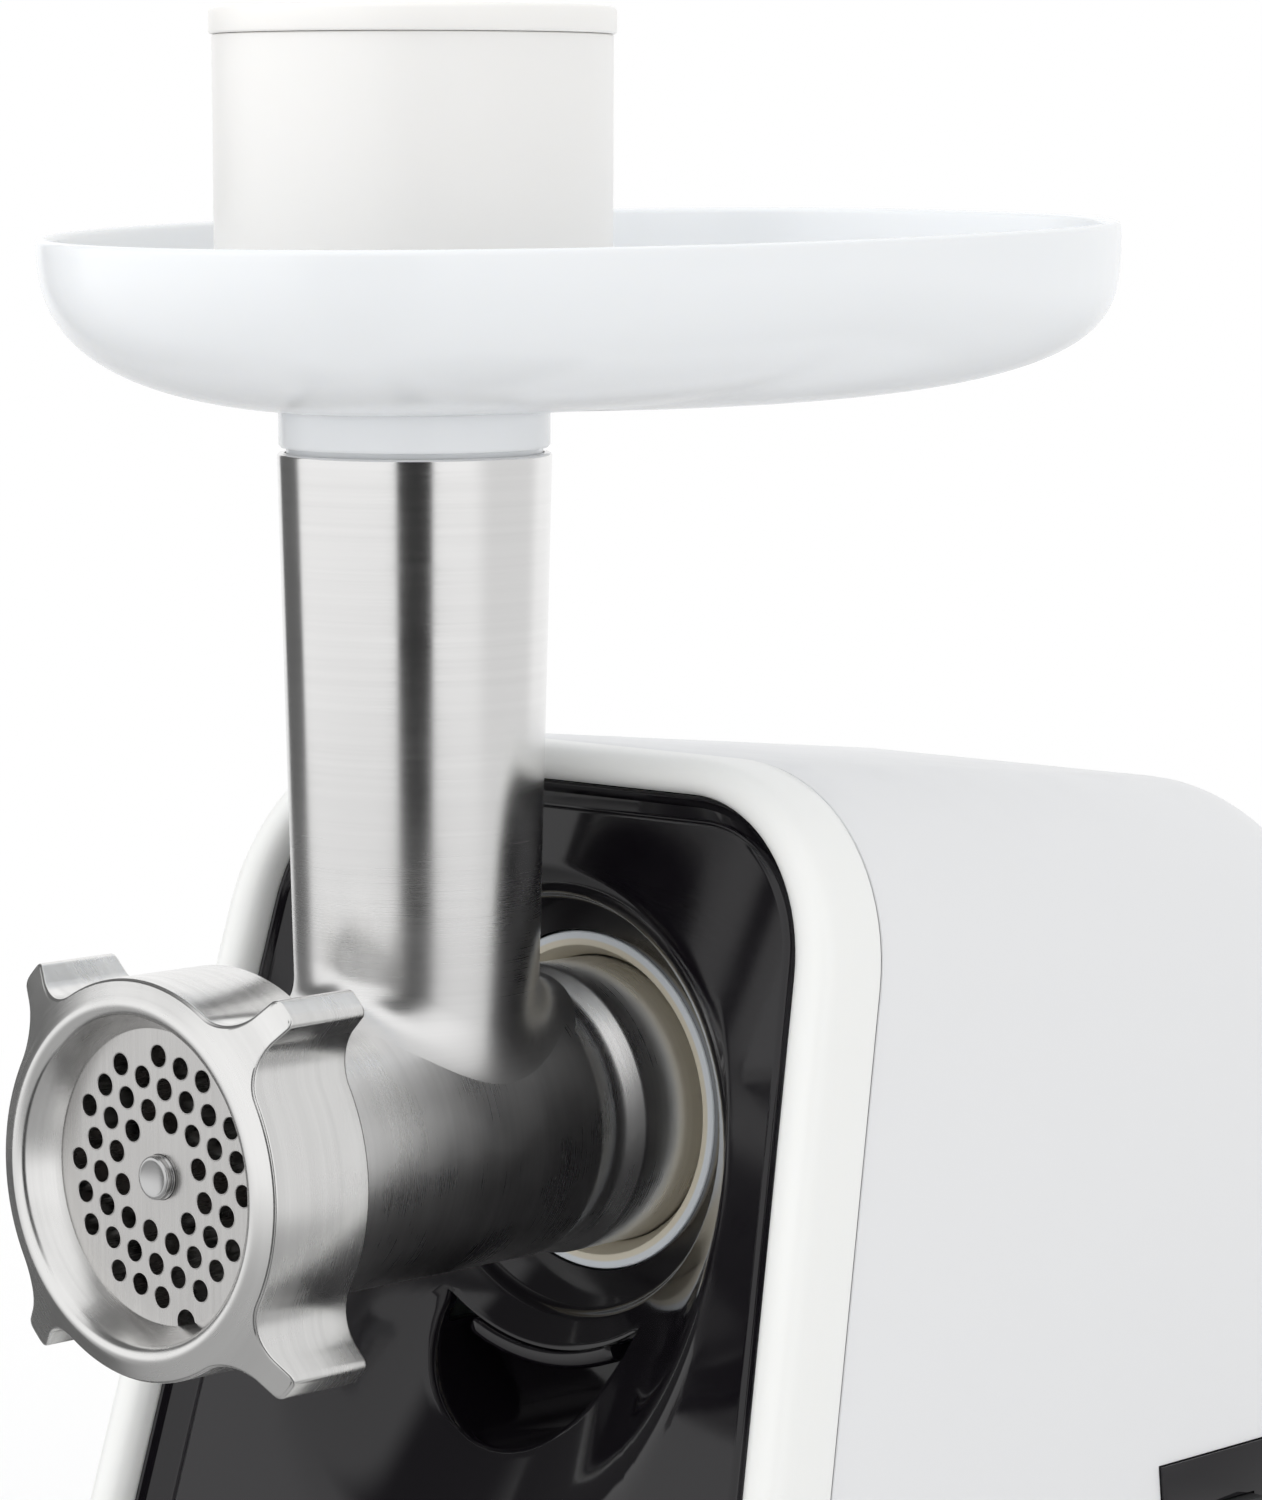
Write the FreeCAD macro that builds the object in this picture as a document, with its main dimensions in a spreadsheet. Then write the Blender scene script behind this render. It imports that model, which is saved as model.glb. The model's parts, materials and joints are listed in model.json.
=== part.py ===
import FreeCAD, Part
import Sketcher
import math
import os

# Electric meat grinder. Millimetres, +Z up, +Y towards the back, feet on Z = 0.
# The origin is at the bottom centre of the whole machine. Pieces on the grinding axis are
# measured from the seat, the plane where the grinding head enters the drive socket.

Vector = FreeCAD.Vector
document = FreeCAD.newDocument("MeatGrinder")
sheet = document.addObject("Spreadsheet::Sheet", "dims")

DIMENSIONS = {
    # overall arrangement
    "axis_height": 120, "plate_to_seat": 112.8, "ring_lip_ahead": 7.5, "rear_reach": 152,
    "tube_to_seat": 47.1, "tube_height": 130,
    # fits and gaps
    "running_gap": 0.05, "slide_gap": 0.3, "seam_gap": 0.3,
    # housing
    "foot_height": 6, "foot_radius": 10, "foot_side": 66, "foot_front": 22, "foot_back": 124,
    "top_above_axis": 70.5, "base_half_width": 95, "side_lean": 0.088, "top_slope": 6.2,
    "corner_radius": 44, "rear_radius": 24, "shell_wall": 2.6, "base_wall": 3,
    "face_ahead": 27.1, "face_lean": 13.9, "bezel_proud": 4, "bezel_depth": 16,
    "bezel_width": 10, "bezel_top": 7.3, "bezel_foot": 14, "panel_recess": 1, "panel_wall": 3,
    "neck_radius": 34, "neck_depth": 3, "funnel_wall": 2.4, "mouth_radius": 56,
    "mouth_ahead": 20, "dish_ahead": 60, "dish_half_width": 78, "dish_half_height": 83,
    "dish_drop": 27,
    # release lever in its finger pocket
    "pocket_radius": 25.5, "pocket_drop": 40, "pocket_roof": 46, "pocket_back": 1,
    "lever_radius": 51.5, "lever_thickness": 3.5, "lever_half_width": 20, "lever_ahead": 14,
    "lever_length": 17, "lever_travel": 3,
    # socket ring
    "socket_radius": 28.6, "socket_lip_radius": 30.8, "socket_outer_radius": 33.6,
    "socket_depth": 12, "socket_flange_radius": 42, "socket_flange": 3,
    # grinding head
    "barrel_radius": 27.6, "barrel_bore_radius": 24.4, "spigot_radius": 28.3,
    "spigot_ahead": 10, "spigot_depth": 11, "thread_radius": 33.7, "thread_length": 17,
    "neck_taper": 5, "knife_chamber_radius": 28.6, "knife_chamber": 10, "plate_proud": 1,
    "rear_wall_front": 14, "rear_wall": 8, "rear_cavity_radius": 20,
    "tube_top_radius": 26, "tube_foot_radius": 22.6, "tube_wall": 2.4,
    "tube_mouth_radius": 24.6, "tube_mouth_depth": 14,
    # rotating tools
    "flight_pitch": 28, "flight_root": 9, "flight_tip": 3.5, "auger_core_radius": 9,
    "journal_radius": 8, "square_side": 8, "square_reach": 7, "pin_radius": 4.2, "pin_proud": 2,
    "knife_radius": 26.5, "knife_hub_radius": 9, "knife_thickness": 8, "knife_arm": 9,
    "plate_radius": 31, "plate_thickness": 5, "hole_pitch": 6.2, "hole_radius": 2.1,
    "lattice_turn": 44.5, "notch_radius": 2.4, "notch_centre": 26.9, "key_centre": 29.8,
    "washer_thickness": 1.5, "washer_radius": 16,
    # ring nut
    "ring_radius": 37.2, "ring_length": 25, "ring_slope": 6.8, "lip_radius": 31.3,
    "lip_inner_radius": 27, "lobe_reach": 49, "lobe_width": 6.4, "lobe_blend": 9,
    # tray and pusher
    "tray_half_length": 122, "tray_half_width": 78, "tray_centre": 46.7, "tray_depth": 34.5,
    "tray_bottom": 137.3, "tray_wall": 2.4, "tray_roundness": 2.6, "tray_tilt": 1.4,
    "collar_radius": 25.7, "collar_gap": 1, "spigot_wall": 1.9, "tray_spigot": 12,
    "pusher_floor": 143.2, "pusher_top": 208.2, "pusher_radius": 37.7, "pusher_foot_radius": 37.4,
    "pusher_wall": 1.8, "plunger_radius": 20.3, "plunger_tip": 29, "plunger_wall": 1.8,
    "lid_radius": 38.3, "lid_height": 5.2, "lid_plug": 5,
    # gear train
    "pinion_teeth": 12, "wheel_teeth": 48, "module_first": 1, "module_second": 1.25,
    "module_third": 1.5, "gear_backlash": 0.16, "gear_spread": 0.05,
    "angle_third": -128.3, "angle_second": -12.4, "angle_first": -106.9,
    "face_first": 8, "face_second": 10, "face_third": 12, "gear_gap": 1.5,
    "case_wall": 3, "case_half_width": 63, "case_top": 44, "boss_radius": 4, "cover_wall": 3,
    "hub_radius": 14, "hub_ahead": 3, "output_radius": 8, "bush_wall": 3, "pin_shaft_radius": 4,
    # motor
    "motor_shaft_radius": 4, "stack_length": 40, "stator_half_width": 38, "stator_half_height": 32,
    "rotor_radius": 21.5, "air_gap": 0.5, "winding_length": 4, "winding_inner": 24,
    "winding_outer": 31, "bracket_wall": 3, "bearing_radius": 11, "bearing_width": 7,
    "boss_wall": 3, "commutator_radius": 12, "commutator_length": 10, "fan_radius": 29,
    "fan_length": 10, "fan_blades": 9, "bolt_radius": 2, "brush_side": 6, "brush_reach": 4,
    "brush_sleeve": 1.5,
    # controls on the right side
    "control_front": 68, "control_length": 62, "control_foot": 14, "control_height": 35,
    "control_proud": 0.6, "rocker_length": 26, "rocker_height": 15, "rocker_place": 84,
    "rocker_proud": 2.5, "rocker_body": 9, "pivot_radius": 1.2, "pivot_height": 1.5,
    "pivot_reach": 2, "button_radius": 6.5, "button_place": 113, "button_body": 10,
    "control_level": 31.5,
    # back
    "grille_half_width": 42, "grille_foot": 62, "grille_height": 60, "louvre_count": 9,
    "louvre_height": 3, "gland_radius": 9, "gland_bore": 3.8, "gland_side": 58,
    "gland_level": 30, "gland_proud": 1.5,
    "switch_depth": 16,
    # springs
    "spring_radius": 3, "spring_wire": 0.4, "spring_pitch": 1.6, "spring_length": 9,
    # fasteners
    "screw_radius": 1.5, "screw_head_radius": 3, "screw_head": 2.4, "screw_length": 10,
    "seat_screw_circle": 38, "base_boss_radius": 6, "base_boss_inset": 8.5,
    "base_boss_height": 20, "base_screw_front": 8, "base_screw_back": 131,
}
for row, (alias, number) in enumerate(DIMENSIONS.items(), 1):
    sheet.set(f"A{row}", alias.replace("_", " "))
    sheet.set(f"B{row}", str(number))
    sheet.setAlias(f"B{row}", alias)
document.recompute()


def dim(text):
    """Write an expression with every sheet alias in it given its full name."""
    words = []
    word = ""
    for letter in text + " ":
        if letter.isalnum() or letter == "_":
            word += letter
            continue
        words.append("dims." + word if word in DIMENSIONS else word)
        words.append(letter)
        word = ""
    return "".join(words).strip()


def number(text):
    """The present value of an expression."""
    result = sheet.evalExpression(dim(text))
    return float(getattr(result, "Value", result))


SEAT = "((plate_to_seat + ring_lip_ahead - rear_reach) / 2)"
TURN = {
    "X": FreeCAD.Rotation(Vector(0, 1, 0), 90),
    "Y": FreeCAD.Rotation(Vector(1, 0, 0), -90),
    "Z": FreeCAD.Rotation(),
}
nodes = []


def bind(thing, sizes):
    for name, text in sizes.items():
        thing.setExpression(name, dim(text))
    return thing


def place(thing, at, rotation=None):
    if rotation is not None:
        thing.Placement = FreeCAD.Placement(Vector(), rotation)
    return bind(thing, {f"Placement.Base.{axis}": text for axis, text in zip("xyz", at)})


def on_axis(x="0", y="0", z="0"):
    """A point given from the seat, where the grinding axis meets it."""
    return x, f"{SEAT} + ({y})", f"axis_height + ({z})"


def cylinder(radius, length, at, along="Z"):
    rod = document.addObject("Part::Cylinder", "rod")
    bind(rod, {"Radius": radius, "Height": length})
    return place(rod, at, TURN[along])


def cone(low_radius, high_radius, length, at, along="Z"):
    taper = document.addObject("Part::Cone", "taper")
    bind(taper, {"Radius1": low_radius, "Radius2": high_radius, "Height": length})
    return place(taper, at, TURN[along])


def box(sizes, at, rotation=None):
    block = document.addObject("Part::Box", "block")
    bind(block, dict(zip(("Length", "Width", "Height"), sizes)))
    return place(block, at, rotation)


def fuse(*things):
    if len(things) == 1:
        return things[0]
    joined = document.addObject("Part::MultiFuse", "joined")
    joined.Shapes = list(things)
    return joined


def cut(base, *tools):
    left = document.addObject("Part::Cut", "cut")
    left.Base = base
    left.Tool = fuse(*tools)
    return left


def common(*things):
    shared = document.addObject("Part::MultiCommon", "shared")
    shared.Shapes = list(things)
    return shared


def group(*things):
    together = document.addObject("Part::Compound", "group")
    together.Links = list(things)
    return together


def rounded(base, radius, choose):
    """Round the edges that choose() picks."""
    document.recompute()
    size = number(radius)
    edges = [(index, size, size) for index, edge in enumerate(base.Shape.Edges, 1) if choose(edge)]
    soft = document.addObject("Part::Fillet", "rounded")
    soft.Base = base
    soft.Edges = edges
    return soft


def plane_of(body, role):
    return next(item for item in body.Origin.OriginFeatures if item.Role == role)


def sketch_in(body, role, corners):
    """A closed outline of straight sides whose corners are held by sheet expressions."""
    drawing = body.newObject("Sketcher::SketchObject", "outline")
    drawing.AttachmentSupport = [(plane_of(body, role), "")]
    drawing.MapMode = "FlatFace"
    points = [Vector(number(x), number(y), 0) for x, y in corners]
    count = len(points)
    for index in range(count):
        drawing.addGeometry(Part.LineSegment(points[index], points[(index + 1) % count]))
    for index in range(count):
        drawing.addConstraint(
            Sketcher.Constraint("Coincident", index, 2, (index + 1) % count, 1))
    for index, (x, y) in enumerate(corners):
        for kind, text in (("DistanceX", x), ("DistanceY", y)):
            held = drawing.addConstraint(
                Sketcher.Constraint(kind, -1, 1, index, 1, number(text)))
            drawing.setExpression(f"Constraints[{held}]", dim(text))
    return drawing


def turned(corners, at, along="Y"):
    """A turned piece: corners are (radius, place along the axis)."""
    body = document.addObject("PartDesign::Body", "turned")
    drawing = sketch_in(body, "XY_Plane" if along == "Y" else "XZ_Plane", corners)
    spin = body.newObject("PartDesign::Revolution", "spin")
    spin.Profile = drawing
    spin.ReferenceAxis = (drawing, ["V_Axis"])
    spin.Angle = 360
    return place(body, at)


def padded(corners, length, at, role="XZ_Plane", rotation=None, backwards=False):
    """A straight-sided block: an outline on one of the origin planes, pushed out to a length."""
    body = document.addObject("PartDesign::Body", "block")
    drawing = sketch_in(body, role, corners)
    pad = body.newObject("PartDesign::Pad", "pad")
    pad.Profile = drawing
    pad.Reversed = backwards
    pad.setExpression("Length", dim(length))
    return place(body, at, rotation)


def node(label, thing):
    thing.Label = label
    nodes.append(thing)
    return thing


def screws(places, along, length, forwards=True):
    """Pan-head screws at the places under their heads; forwards drives them up the axis."""
    shift = "XYZ".index(along)
    turned_screws = []
    for at in places:
        head_at, shank_at = list(at), list(at)
        if forwards:
            head_at[shift] = f"{at[shift]} - screw_head"
        else:
            shank_at[shift] = f"{at[shift]} - ({length})"
        turned_screws.append(fuse(
            cylinder("screw_head_radius", "screw_head", head_at, along),
            cylinder("screw_radius", length, shank_at, along)))
    return group(*turned_screws)


def screw_holes(places, along):
    """Tools for the screws' holes, long enough for any wall they pass."""
    shift = "XYZ".index(along)
    holes = []
    for at in places:
        low = list(at)
        low[shift] = f"{at[shift]} - screw_length * 1.5"
        holes.append(cylinder("screw_radius", "screw_length * 3", low, along))
    return holes


# ---------------------------------------------------------------- housing

TILT = FreeCAD.Rotation(Vector(1, 0, 0), -number("top_slope"))
LEAN = FreeCAD.Rotation(Vector(1, 0, 0), -number("face_lean"))
FACE = on_axis(y="-face_ahead")


def body_block(side="0", top="0", back="0"):
    """The outer form of the housing, made smaller all round by the given amounts."""
    low, high = "-axis_height - 20", f"top_above_axis - ({top})"
    wide = f"base_half_width - ({side}) + 26 * side_lean"
    narrow = f"base_half_width - ({side}) - (axis_height + {high} - foot_height) * side_lean"
    long_block = padded(
        ((f"-({wide})", low), (wide, low), (narrow, high), (f"-({narrow})", high)),
        "rear_reach + 150", on_axis(y="-90", z="90 * tan(top_slope)"), rotation=TILT,
        backwards=True)
    block = common(long_block, box(
        ("base_half_width * 3", "rear_reach * 2", "axis_height * 4"),
        ("-base_half_width * 1.5", f"{SEAT} - rear_reach - ({back})", "-axis_height * 2")))
    document.recompute()
    top_z = block.Shape.BoundBox.ZMax
    back_y = block.Shape.BoundBox.YMax

    def long_top(edge):
        ends = [vertex.Point for vertex in edge.Vertexes]
        runs_back = abs(ends[0].y - ends[-1].y) > abs(ends[0].x - ends[-1].x) + 1
        return runs_back and max(point.z for point in ends) > top_z - 1

    soft = rounded(block, f"corner_radius - ({side})", long_top)

    def rear_rim(edge):
        on_back = all(abs(vertex.Point.y - back_y) < 0.01 for vertex in edge.Vertexes)
        return on_back and edge.CenterOfMass.z > 0

    return rounded(soft, f"rear_radius - ({back})", rear_rim)


def slab(front, depth):
    """A flat layer parallel to the leaning front face; front is measured into the body."""
    layer = document.addObject("Part::Box", "layer")
    bind(layer, {"Length": "base_half_width * 3", "Width": depth, "Height": "axis_height * 4"})
    inwards = Vector(0, math.cos(math.radians(number("face_lean"))),
                     -math.sin(math.radians(number("face_lean"))))
    upwards = Vector(0, -inwards.z, inwards.y)
    reach = f"({front})"
    rise = "(-axis_height * 2)"
    place(layer, (
        "-base_half_width * 1.5",
        f"{FACE[1]} + {reach} * cos(face_lean) + {rise} * sin(face_lean)",
        f"{FACE[2]} - {reach} * sin(face_lean) + {rise} * cos(face_lean)"), LEAN)
    return layer


def above_base(thing, level):
    """Keep what is above a level."""
    return common(thing, box(
        ("base_half_width * 3", "rear_reach * 4", "axis_height * 3"),
        ("-base_half_width * 1.5", f"{SEAT} - rear_reach * 2", level)))


def front_opening(clearance="0"):
    """The form of the opening in the bezel, which the front panel fills."""
    inside = body_block(f"bezel_width + ({clearance})", f"bezel_top + ({clearance})")
    return above_base(inside, f"bezel_foot + ({clearance})")


BACK_OF_BEZEL = "bezel_depth - bezel_proud"

node("front_bezel", cut(
    above_base(common(body_block(), slab("-bezel_proud", "bezel_depth")), "foot_height"),
    front_opening()))

behind_seam = slab(f"{BACK_OF_BEZEL} + seam_gap", "rear_reach * 2")
control_hole = box(
    ("base_half_width", "control_length + 2 * seam_gap", "control_height + 2 * seam_gap"),
    ("base_half_width / 2", f"{SEAT} + control_front - seam_gap", "control_foot - seam_gap"))
grille_hole = box(
    ("2 * grille_half_width", "rear_reach", "grille_height"),
    ("-grille_half_width", f"{SEAT} + rear_reach / 2", "grille_foot"))
gland_hole = cylinder("gland_radius", "rear_reach", (
    "-gland_side", f"{SEAT} + rear_reach / 2", "gland_level"), "Y")
base_screw_places = [
    (f"{side} * (base_half_width - base_boss_inset)", f"{SEAT} + {back}", "foot_height + screw_head")
    for side in (-1, 1) for back in ("base_screw_front", "base_screw_back")]
shell_wall_form = cut(
    above_base(common(body_block(), behind_seam), "foot_height"),
    body_block("shell_wall", "shell_wall", "shell_wall"))
base_bosses = common(body_block(), fuse(*(
    cylinder("base_boss_radius", "base_boss_height", (x, y, "foot_height + base_wall"))
    for x, y, level in base_screw_places)))
node("body_shell", cut(
    fuse(shell_wall_form, base_bosses), control_hole, grille_hole, gland_hole,
    *screw_holes(base_screw_places, "Z")))

feet = [(side, back) for side in ("-foot_side", "foot_side")
        for back in (f"{SEAT} - foot_front", f"{SEAT} + foot_back")]
plate_inset = "shell_wall + seam_gap"
base_plate = common(
    body_block(plate_inset, plate_inset, plate_inset),
    slab(f"{BACK_OF_BEZEL} + seam_gap", "rear_reach * 2"),
    box(("base_half_width * 3", "rear_reach * 3", "base_wall"),
        ("-base_half_width * 1.5", f"{SEAT} - rear_reach", "foot_height")))
node("base_plate", cut(
    base_plate, *screw_holes(base_screw_places, "Z"), *(
        cylinder("screw_head_radius", "screw_head", (x, y, "foot_height"))
        for x, y, level in base_screw_places)))
node("base_screws", screws(base_screw_places, "Z", "screw_length"))
node("rubber_feet", group(*(
    cone("foot_radius - 1.5", "foot_radius", "foot_height", (side, back, "0"))
    for side, back in feet)))

# The panel's dish narrows from the leaning face to a round mouth, then as a funnel to the seat.


def funnel(extra, reach):
    """The dish and funnel as one solid; extra widens it, reach carries it past the neck."""
    outline = document.addObject("Part::Ellipse", "dish_outline")
    bind(outline, {"MajorRadius": f"dish_half_height + {extra}",
                   "MinorRadius": f"dish_half_width + {extra}"})
    facing = FreeCAD.Rotation(Vector(1, 0, 0), 90) * FreeCAD.Rotation(Vector(0, 0, 1), 90)
    place(outline, on_axis(y="-dish_ahead", z="-dish_drop"), facing)
    circles = []
    for radius, y in (("mouth_radius", "-mouth_ahead"), ("neck_radius", "0")):
        circle = document.addObject("Part::Circle", "funnel_circle")
        bind(circle, {"Radius": f"{radius} + {extra}"})
        place(circle, on_axis(y=y), facing)
        circles.append(circle)
    flares = []
    for sections in ((outline, circles[0]), circles):
        flare = document.addObject("Part::Loft", "flare")
        flare.Sections = list(sections)
        flare.Solid = True
        flare.Ruled = True
        flares.append(flare)
    return fuse(*flares, cylinder(f"neck_radius + {extra}", f"neck_depth + {reach}",
                                  on_axis(), "Y"))


def pocket_form(radius, back):
    """A round recess below the seat, cut off under the lever."""
    bore = cylinder(radius, f"rear_reach / 2 - ({back})", on_axis(
        y="-rear_reach / 2", z="-pocket_drop"), "Y")
    under = box(("2 * pocket_radius * 2", "rear_reach", "pocket_radius * 2"), on_axis(
        "-pocket_radius * 2", "-rear_reach / 2", "-pocket_roof - pocket_radius * 2"))
    return common(bore, under)


def lever_form(extra):
    """A strip of a ring round the grinding axis, under the seat."""
    long = f"(lever_length + 2 * {extra})"
    front = f"-lever_ahead - {extra}"
    ring = cut(cylinder(f"lever_radius + {extra}", long, on_axis(y=front), "Y"),
               cylinder(f"lever_radius - lever_thickness - {extra}", long,
                        on_axis(y=front), "Y"))
    half = f"(lever_half_width + {extra})"
    return common(ring, box((f"2 * {half}", long, "lever_radius * 1.2"),
                            on_axis(f"-{half}", front, "-lever_radius * 1.2")))


panel_front = slab("panel_recess", "panel_wall")
ahead_of_panel = slab("panel_recess - rear_reach", "rear_reach")
node("front_panel", cut(
    fuse(common(front_opening("seam_gap"), panel_front), funnel("funnel_wall", "0")),
    funnel("0", "5"), ahead_of_panel,
    pocket_form("pocket_radius + funnel_wall + seam_gap", "-neck_depth - 1"),
    lever_form("(lever_travel + slide_gap)")))
node("release_pocket", cut(
    pocket_form("pocket_radius + funnel_wall", "pocket_back"),
    pocket_form("pocket_radius", "pocket_back + funnel_wall"),
    funnel("0", "5"), ahead_of_panel, lever_form("slide_gap"),
    cylinder("neck_radius + funnel_wall + slide_gap", "rear_reach", on_axis(
        y="-rear_reach / 2"), "Y")))
node("release_lever", lever_form("0"))


def coil_spring(radius, wire, pitch, length, at, along):
    """An open coil; radius is to the middle of the wire."""
    path = document.addObject("Part::Helix", "coil_path")
    bind(path, {"Radius": radius, "Pitch": pitch, "Height": length})
    section = document.addObject("Part::Circle", "wire")
    bind(section, {"Radius": wire})
    place(section, (radius, "0", "0"), FreeCAD.Rotation(Vector(1, 0, 0), 90))
    coil = document.addObject("Part::Sweep", "coil")
    coil.Sections = [section]
    coil.Spine = (path, ["Edge1"])
    coil.Solid = True
    coil.Frenet = True
    return place(coil, at, TURN[along])


node("release_spring", coil_spring(
    "spring_radius", "spring_wire", "spring_pitch", "spring_length - 2 * spring_wire",
    on_axis("0", "lever_length - lever_ahead + spring_wire",
            "-lever_radius + lever_thickness / 2"), "Y"))

# ---------------------------------------------------------------- socket

seat_screw_places = [on_axis(
    f"seat_screw_circle * cos({turn})", "socket_depth - socket_flange",
    f"seat_screw_circle * sin({turn})") for turn in (45, 135, 225, 315)]
node("seat_ring", cut(turned((
    ("socket_lip_radius", "0"), ("socket_outer_radius", "0"),
    ("socket_outer_radius", "socket_depth - socket_flange"),
    ("socket_flange_radius", "socket_depth - socket_flange"),
    ("socket_flange_radius", "socket_depth"), ("socket_radius", "socket_depth"),
    ("socket_radius", "socket_depth / 3")), on_axis()), *screw_holes(seat_screw_places, "Y")))
node("seat_screws", screws(seat_screw_places, "Y", "socket_flange + cover_wall - 1"))

# ---------------------------------------------------------------- gear train

# Axial places, measured back from the seat.
COVER_Y = "socket_depth"
THIRD_Y = f"({COVER_Y} + cover_wall + gear_gap)"
SECOND_Y = f"({THIRD_Y} + face_third + gear_gap)"
FIRST_Y = f"({SECOND_Y} + face_second + gear_gap)"
CASE_BACK_Y = f"({FIRST_Y} + face_first + gear_gap)"
BRACKET_Y = f"({CASE_BACK_Y} + case_wall)"
STACK_Y = f"({BRACKET_Y} + bracket_wall + winding_length + gear_gap)"
STACK_END_Y = f"({STACK_Y} + stack_length)"
FAN_Y = f"({STACK_END_Y} + winding_length + gear_gap)"
COMMUTATOR_Y = f"({FAN_Y} + fan_length + gear_gap)"
REAR_BRACKET_Y = f"({COMMUTATOR_Y} + commutator_length + gear_gap)"

# Centre distances, and the shaft centres chained down from the output shaft.
TEETH = "(pinion_teeth + wheel_teeth) / 2"
STAGES = (("third", "module_third"), ("second", "module_second"), ("first", "module_first"))
centres = [("0", "axis_height")]
for stage, module in STAGES:
    x, z = centres[-1]
    reach = f"({module} * {TEETH} + gear_spread)"
    centres.append((f"({x} + {reach} * cos(angle_{stage}))",
                    f"({z} + {reach} * sin(angle_{stage}))"))
OUTPUT, SHAFT_B, SHAFT_A, MOTOR = centres


def at_shaft(centre, y):
    return centre[0], f"{SEAT} + ({y})", centre[1]


def gear_blank(teeth, module, turn, bore, face, at):
    """A spur gear drawn from involute flanks, with a round bore."""
    count, size = int(number(teeth)), number(module)
    pitch_radius = count * size / 2
    base_radius = pitch_radius * math.cos(math.radians(20))
    root_radius, tip_radius = pitch_radius - size, pitch_radius + 0.75 * size
    start_radius = max(base_radius, root_radius)

    def involute(radius):
        angle = math.acos(base_radius / radius)
        return math.tan(angle) - angle

    half_tooth = (math.pi * size / 2 - number("gear_backlash")) / (2 * pitch_radius)
    half_base = half_tooth + involute(pitch_radius)
    steps = 5
    flank = []
    for step in range(steps + 1):
        radius = start_radius + (tip_radius - start_radius) * step / steps
        flank.append((radius, half_base - involute(radius)))
    half_tooth_outline = [(root_radius, half_base)] + flank
    points = []
    for tooth in range(count):
        middle = turn + 2 * math.pi * tooth / count
        for radius, angle in half_tooth_outline:
            points.append((radius, middle - angle))
        for radius, angle in reversed(half_tooth_outline):
            points.append((radius, middle + angle))
    corners = [Vector(radius * math.cos(angle), 0, radius * math.sin(angle))
               for radius, angle in points]
    outline = Part.makePolygon(corners + corners[:1])
    hole = Part.Wire(Part.makeCircle(number(bore), Vector(), Vector(0, 1, 0)))
    gear = document.addObject("Part::Feature", "gear")
    gear.Shape = Part.Face([outline, hole]).extrude(Vector(0, number(face), 0))
    return place(gear, at)


def meshing_turn(driver_turn, driver_teeth, driven_teeth, direction):
    """The turn that puts a gap of the driven gear on the driver's tooth."""
    slip = (driver_turn - direction) * number(driver_teeth) / number(driven_teeth)
    return direction + math.pi - slip + math.pi / number(driven_teeth)


angle = {stage: math.radians(number(f"angle_{stage}")) for stage, module in STAGES}
turn_output = 0
turn_pinion_b = meshing_turn(turn_output, "wheel_teeth", "pinion_teeth", angle["third"])
turn_wheel_b = 0
turn_pinion_a = meshing_turn(turn_wheel_b, "wheel_teeth", "pinion_teeth", angle["second"])
turn_wheel_a = 0
turn_motor = meshing_turn(turn_wheel_a, "wheel_teeth", "pinion_teeth", angle["first"])

node("output_wheel", gear_blank("wheel_teeth", "module_third", turn_output, "output_radius",
                                "face_third", at_shaft(OUTPUT, THIRD_Y)))
node("third_pinion", gear_blank("pinion_teeth", "module_third", turn_pinion_b,
                                "pin_shaft_radius", "face_third", at_shaft(SHAFT_B, THIRD_Y)))
node("second_wheel", gear_blank("wheel_teeth", "module_second", turn_wheel_b,
                                "pin_shaft_radius", "face_second",
                                at_shaft(SHAFT_B, SECOND_Y)))
node("second_pinion", gear_blank("pinion_teeth", "module_second", turn_pinion_a,
                                 "pin_shaft_radius", "face_second",
                                 at_shaft(SHAFT_A, SECOND_Y)))
node("first_wheel", gear_blank("wheel_teeth", "module_first", turn_wheel_a,
                               "pin_shaft_radius", "face_first", at_shaft(SHAFT_A, FIRST_Y)))
node("motor_pinion", gear_blank("pinion_teeth", "module_first", turn_motor,
                                "motor_shaft_radius", "face_first",
                                at_shaft(MOTOR, FIRST_Y)))

SHAFT_FRONT = f"{COVER_Y} + slide_gap"
SHAFT_SPAN = f"{BRACKET_Y} - {COVER_Y} - 2 * slide_gap"
node("shaft_a", cylinder("pin_shaft_radius", SHAFT_SPAN, at_shaft(SHAFT_A, SHAFT_FRONT), "Y"))
node("shaft_b", cylinder("pin_shaft_radius", SHAFT_SPAN, at_shaft(SHAFT_B, SHAFT_FRONT), "Y"))


def through(radius, centre):
    """A hole tool through the whole machine on a shaft centre."""
    return cylinder(radius, "rear_reach", at_shaft(centre, "-10"), "Y")


CASE_FLOOR = "foot_height + base_wall"
CASE_DEPTH = f"({BRACKET_Y} - {COVER_Y} - cover_wall)"
case_size = ("2 * case_half_width", CASE_DEPTH, f"axis_height + case_top - ({CASE_FLOOR})")
case_at = ("-case_half_width", f"{SEAT} + {COVER_Y} + cover_wall", CASE_FLOOR)
cavity = box(
    ("2 * (case_half_width - case_wall)", CASE_DEPTH,
     f"axis_height + case_top - ({CASE_FLOOR}) - 2 * case_wall"),
    ("-case_half_width + case_wall", f"{SEAT} + {COVER_Y} + cover_wall - case_wall",
     f"{CASE_FLOOR} + case_wall"))
shaft_fit = "pin_shaft_radius + running_gap"
corner_places = [
    (f"{side} * (case_half_width - boss_radius)", f"{SEAT} + {COVER_Y}", level)
    for side in (-1, 1)
    for level in (f"{CASE_FLOOR} + boss_radius", "axis_height + case_top - boss_radius")]
corner_bosses = [
    cylinder("boss_radius", "screw_length + 2", (x, f"{y} + cover_wall", z), "Y")
    for x, y, z in corner_places]
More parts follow.
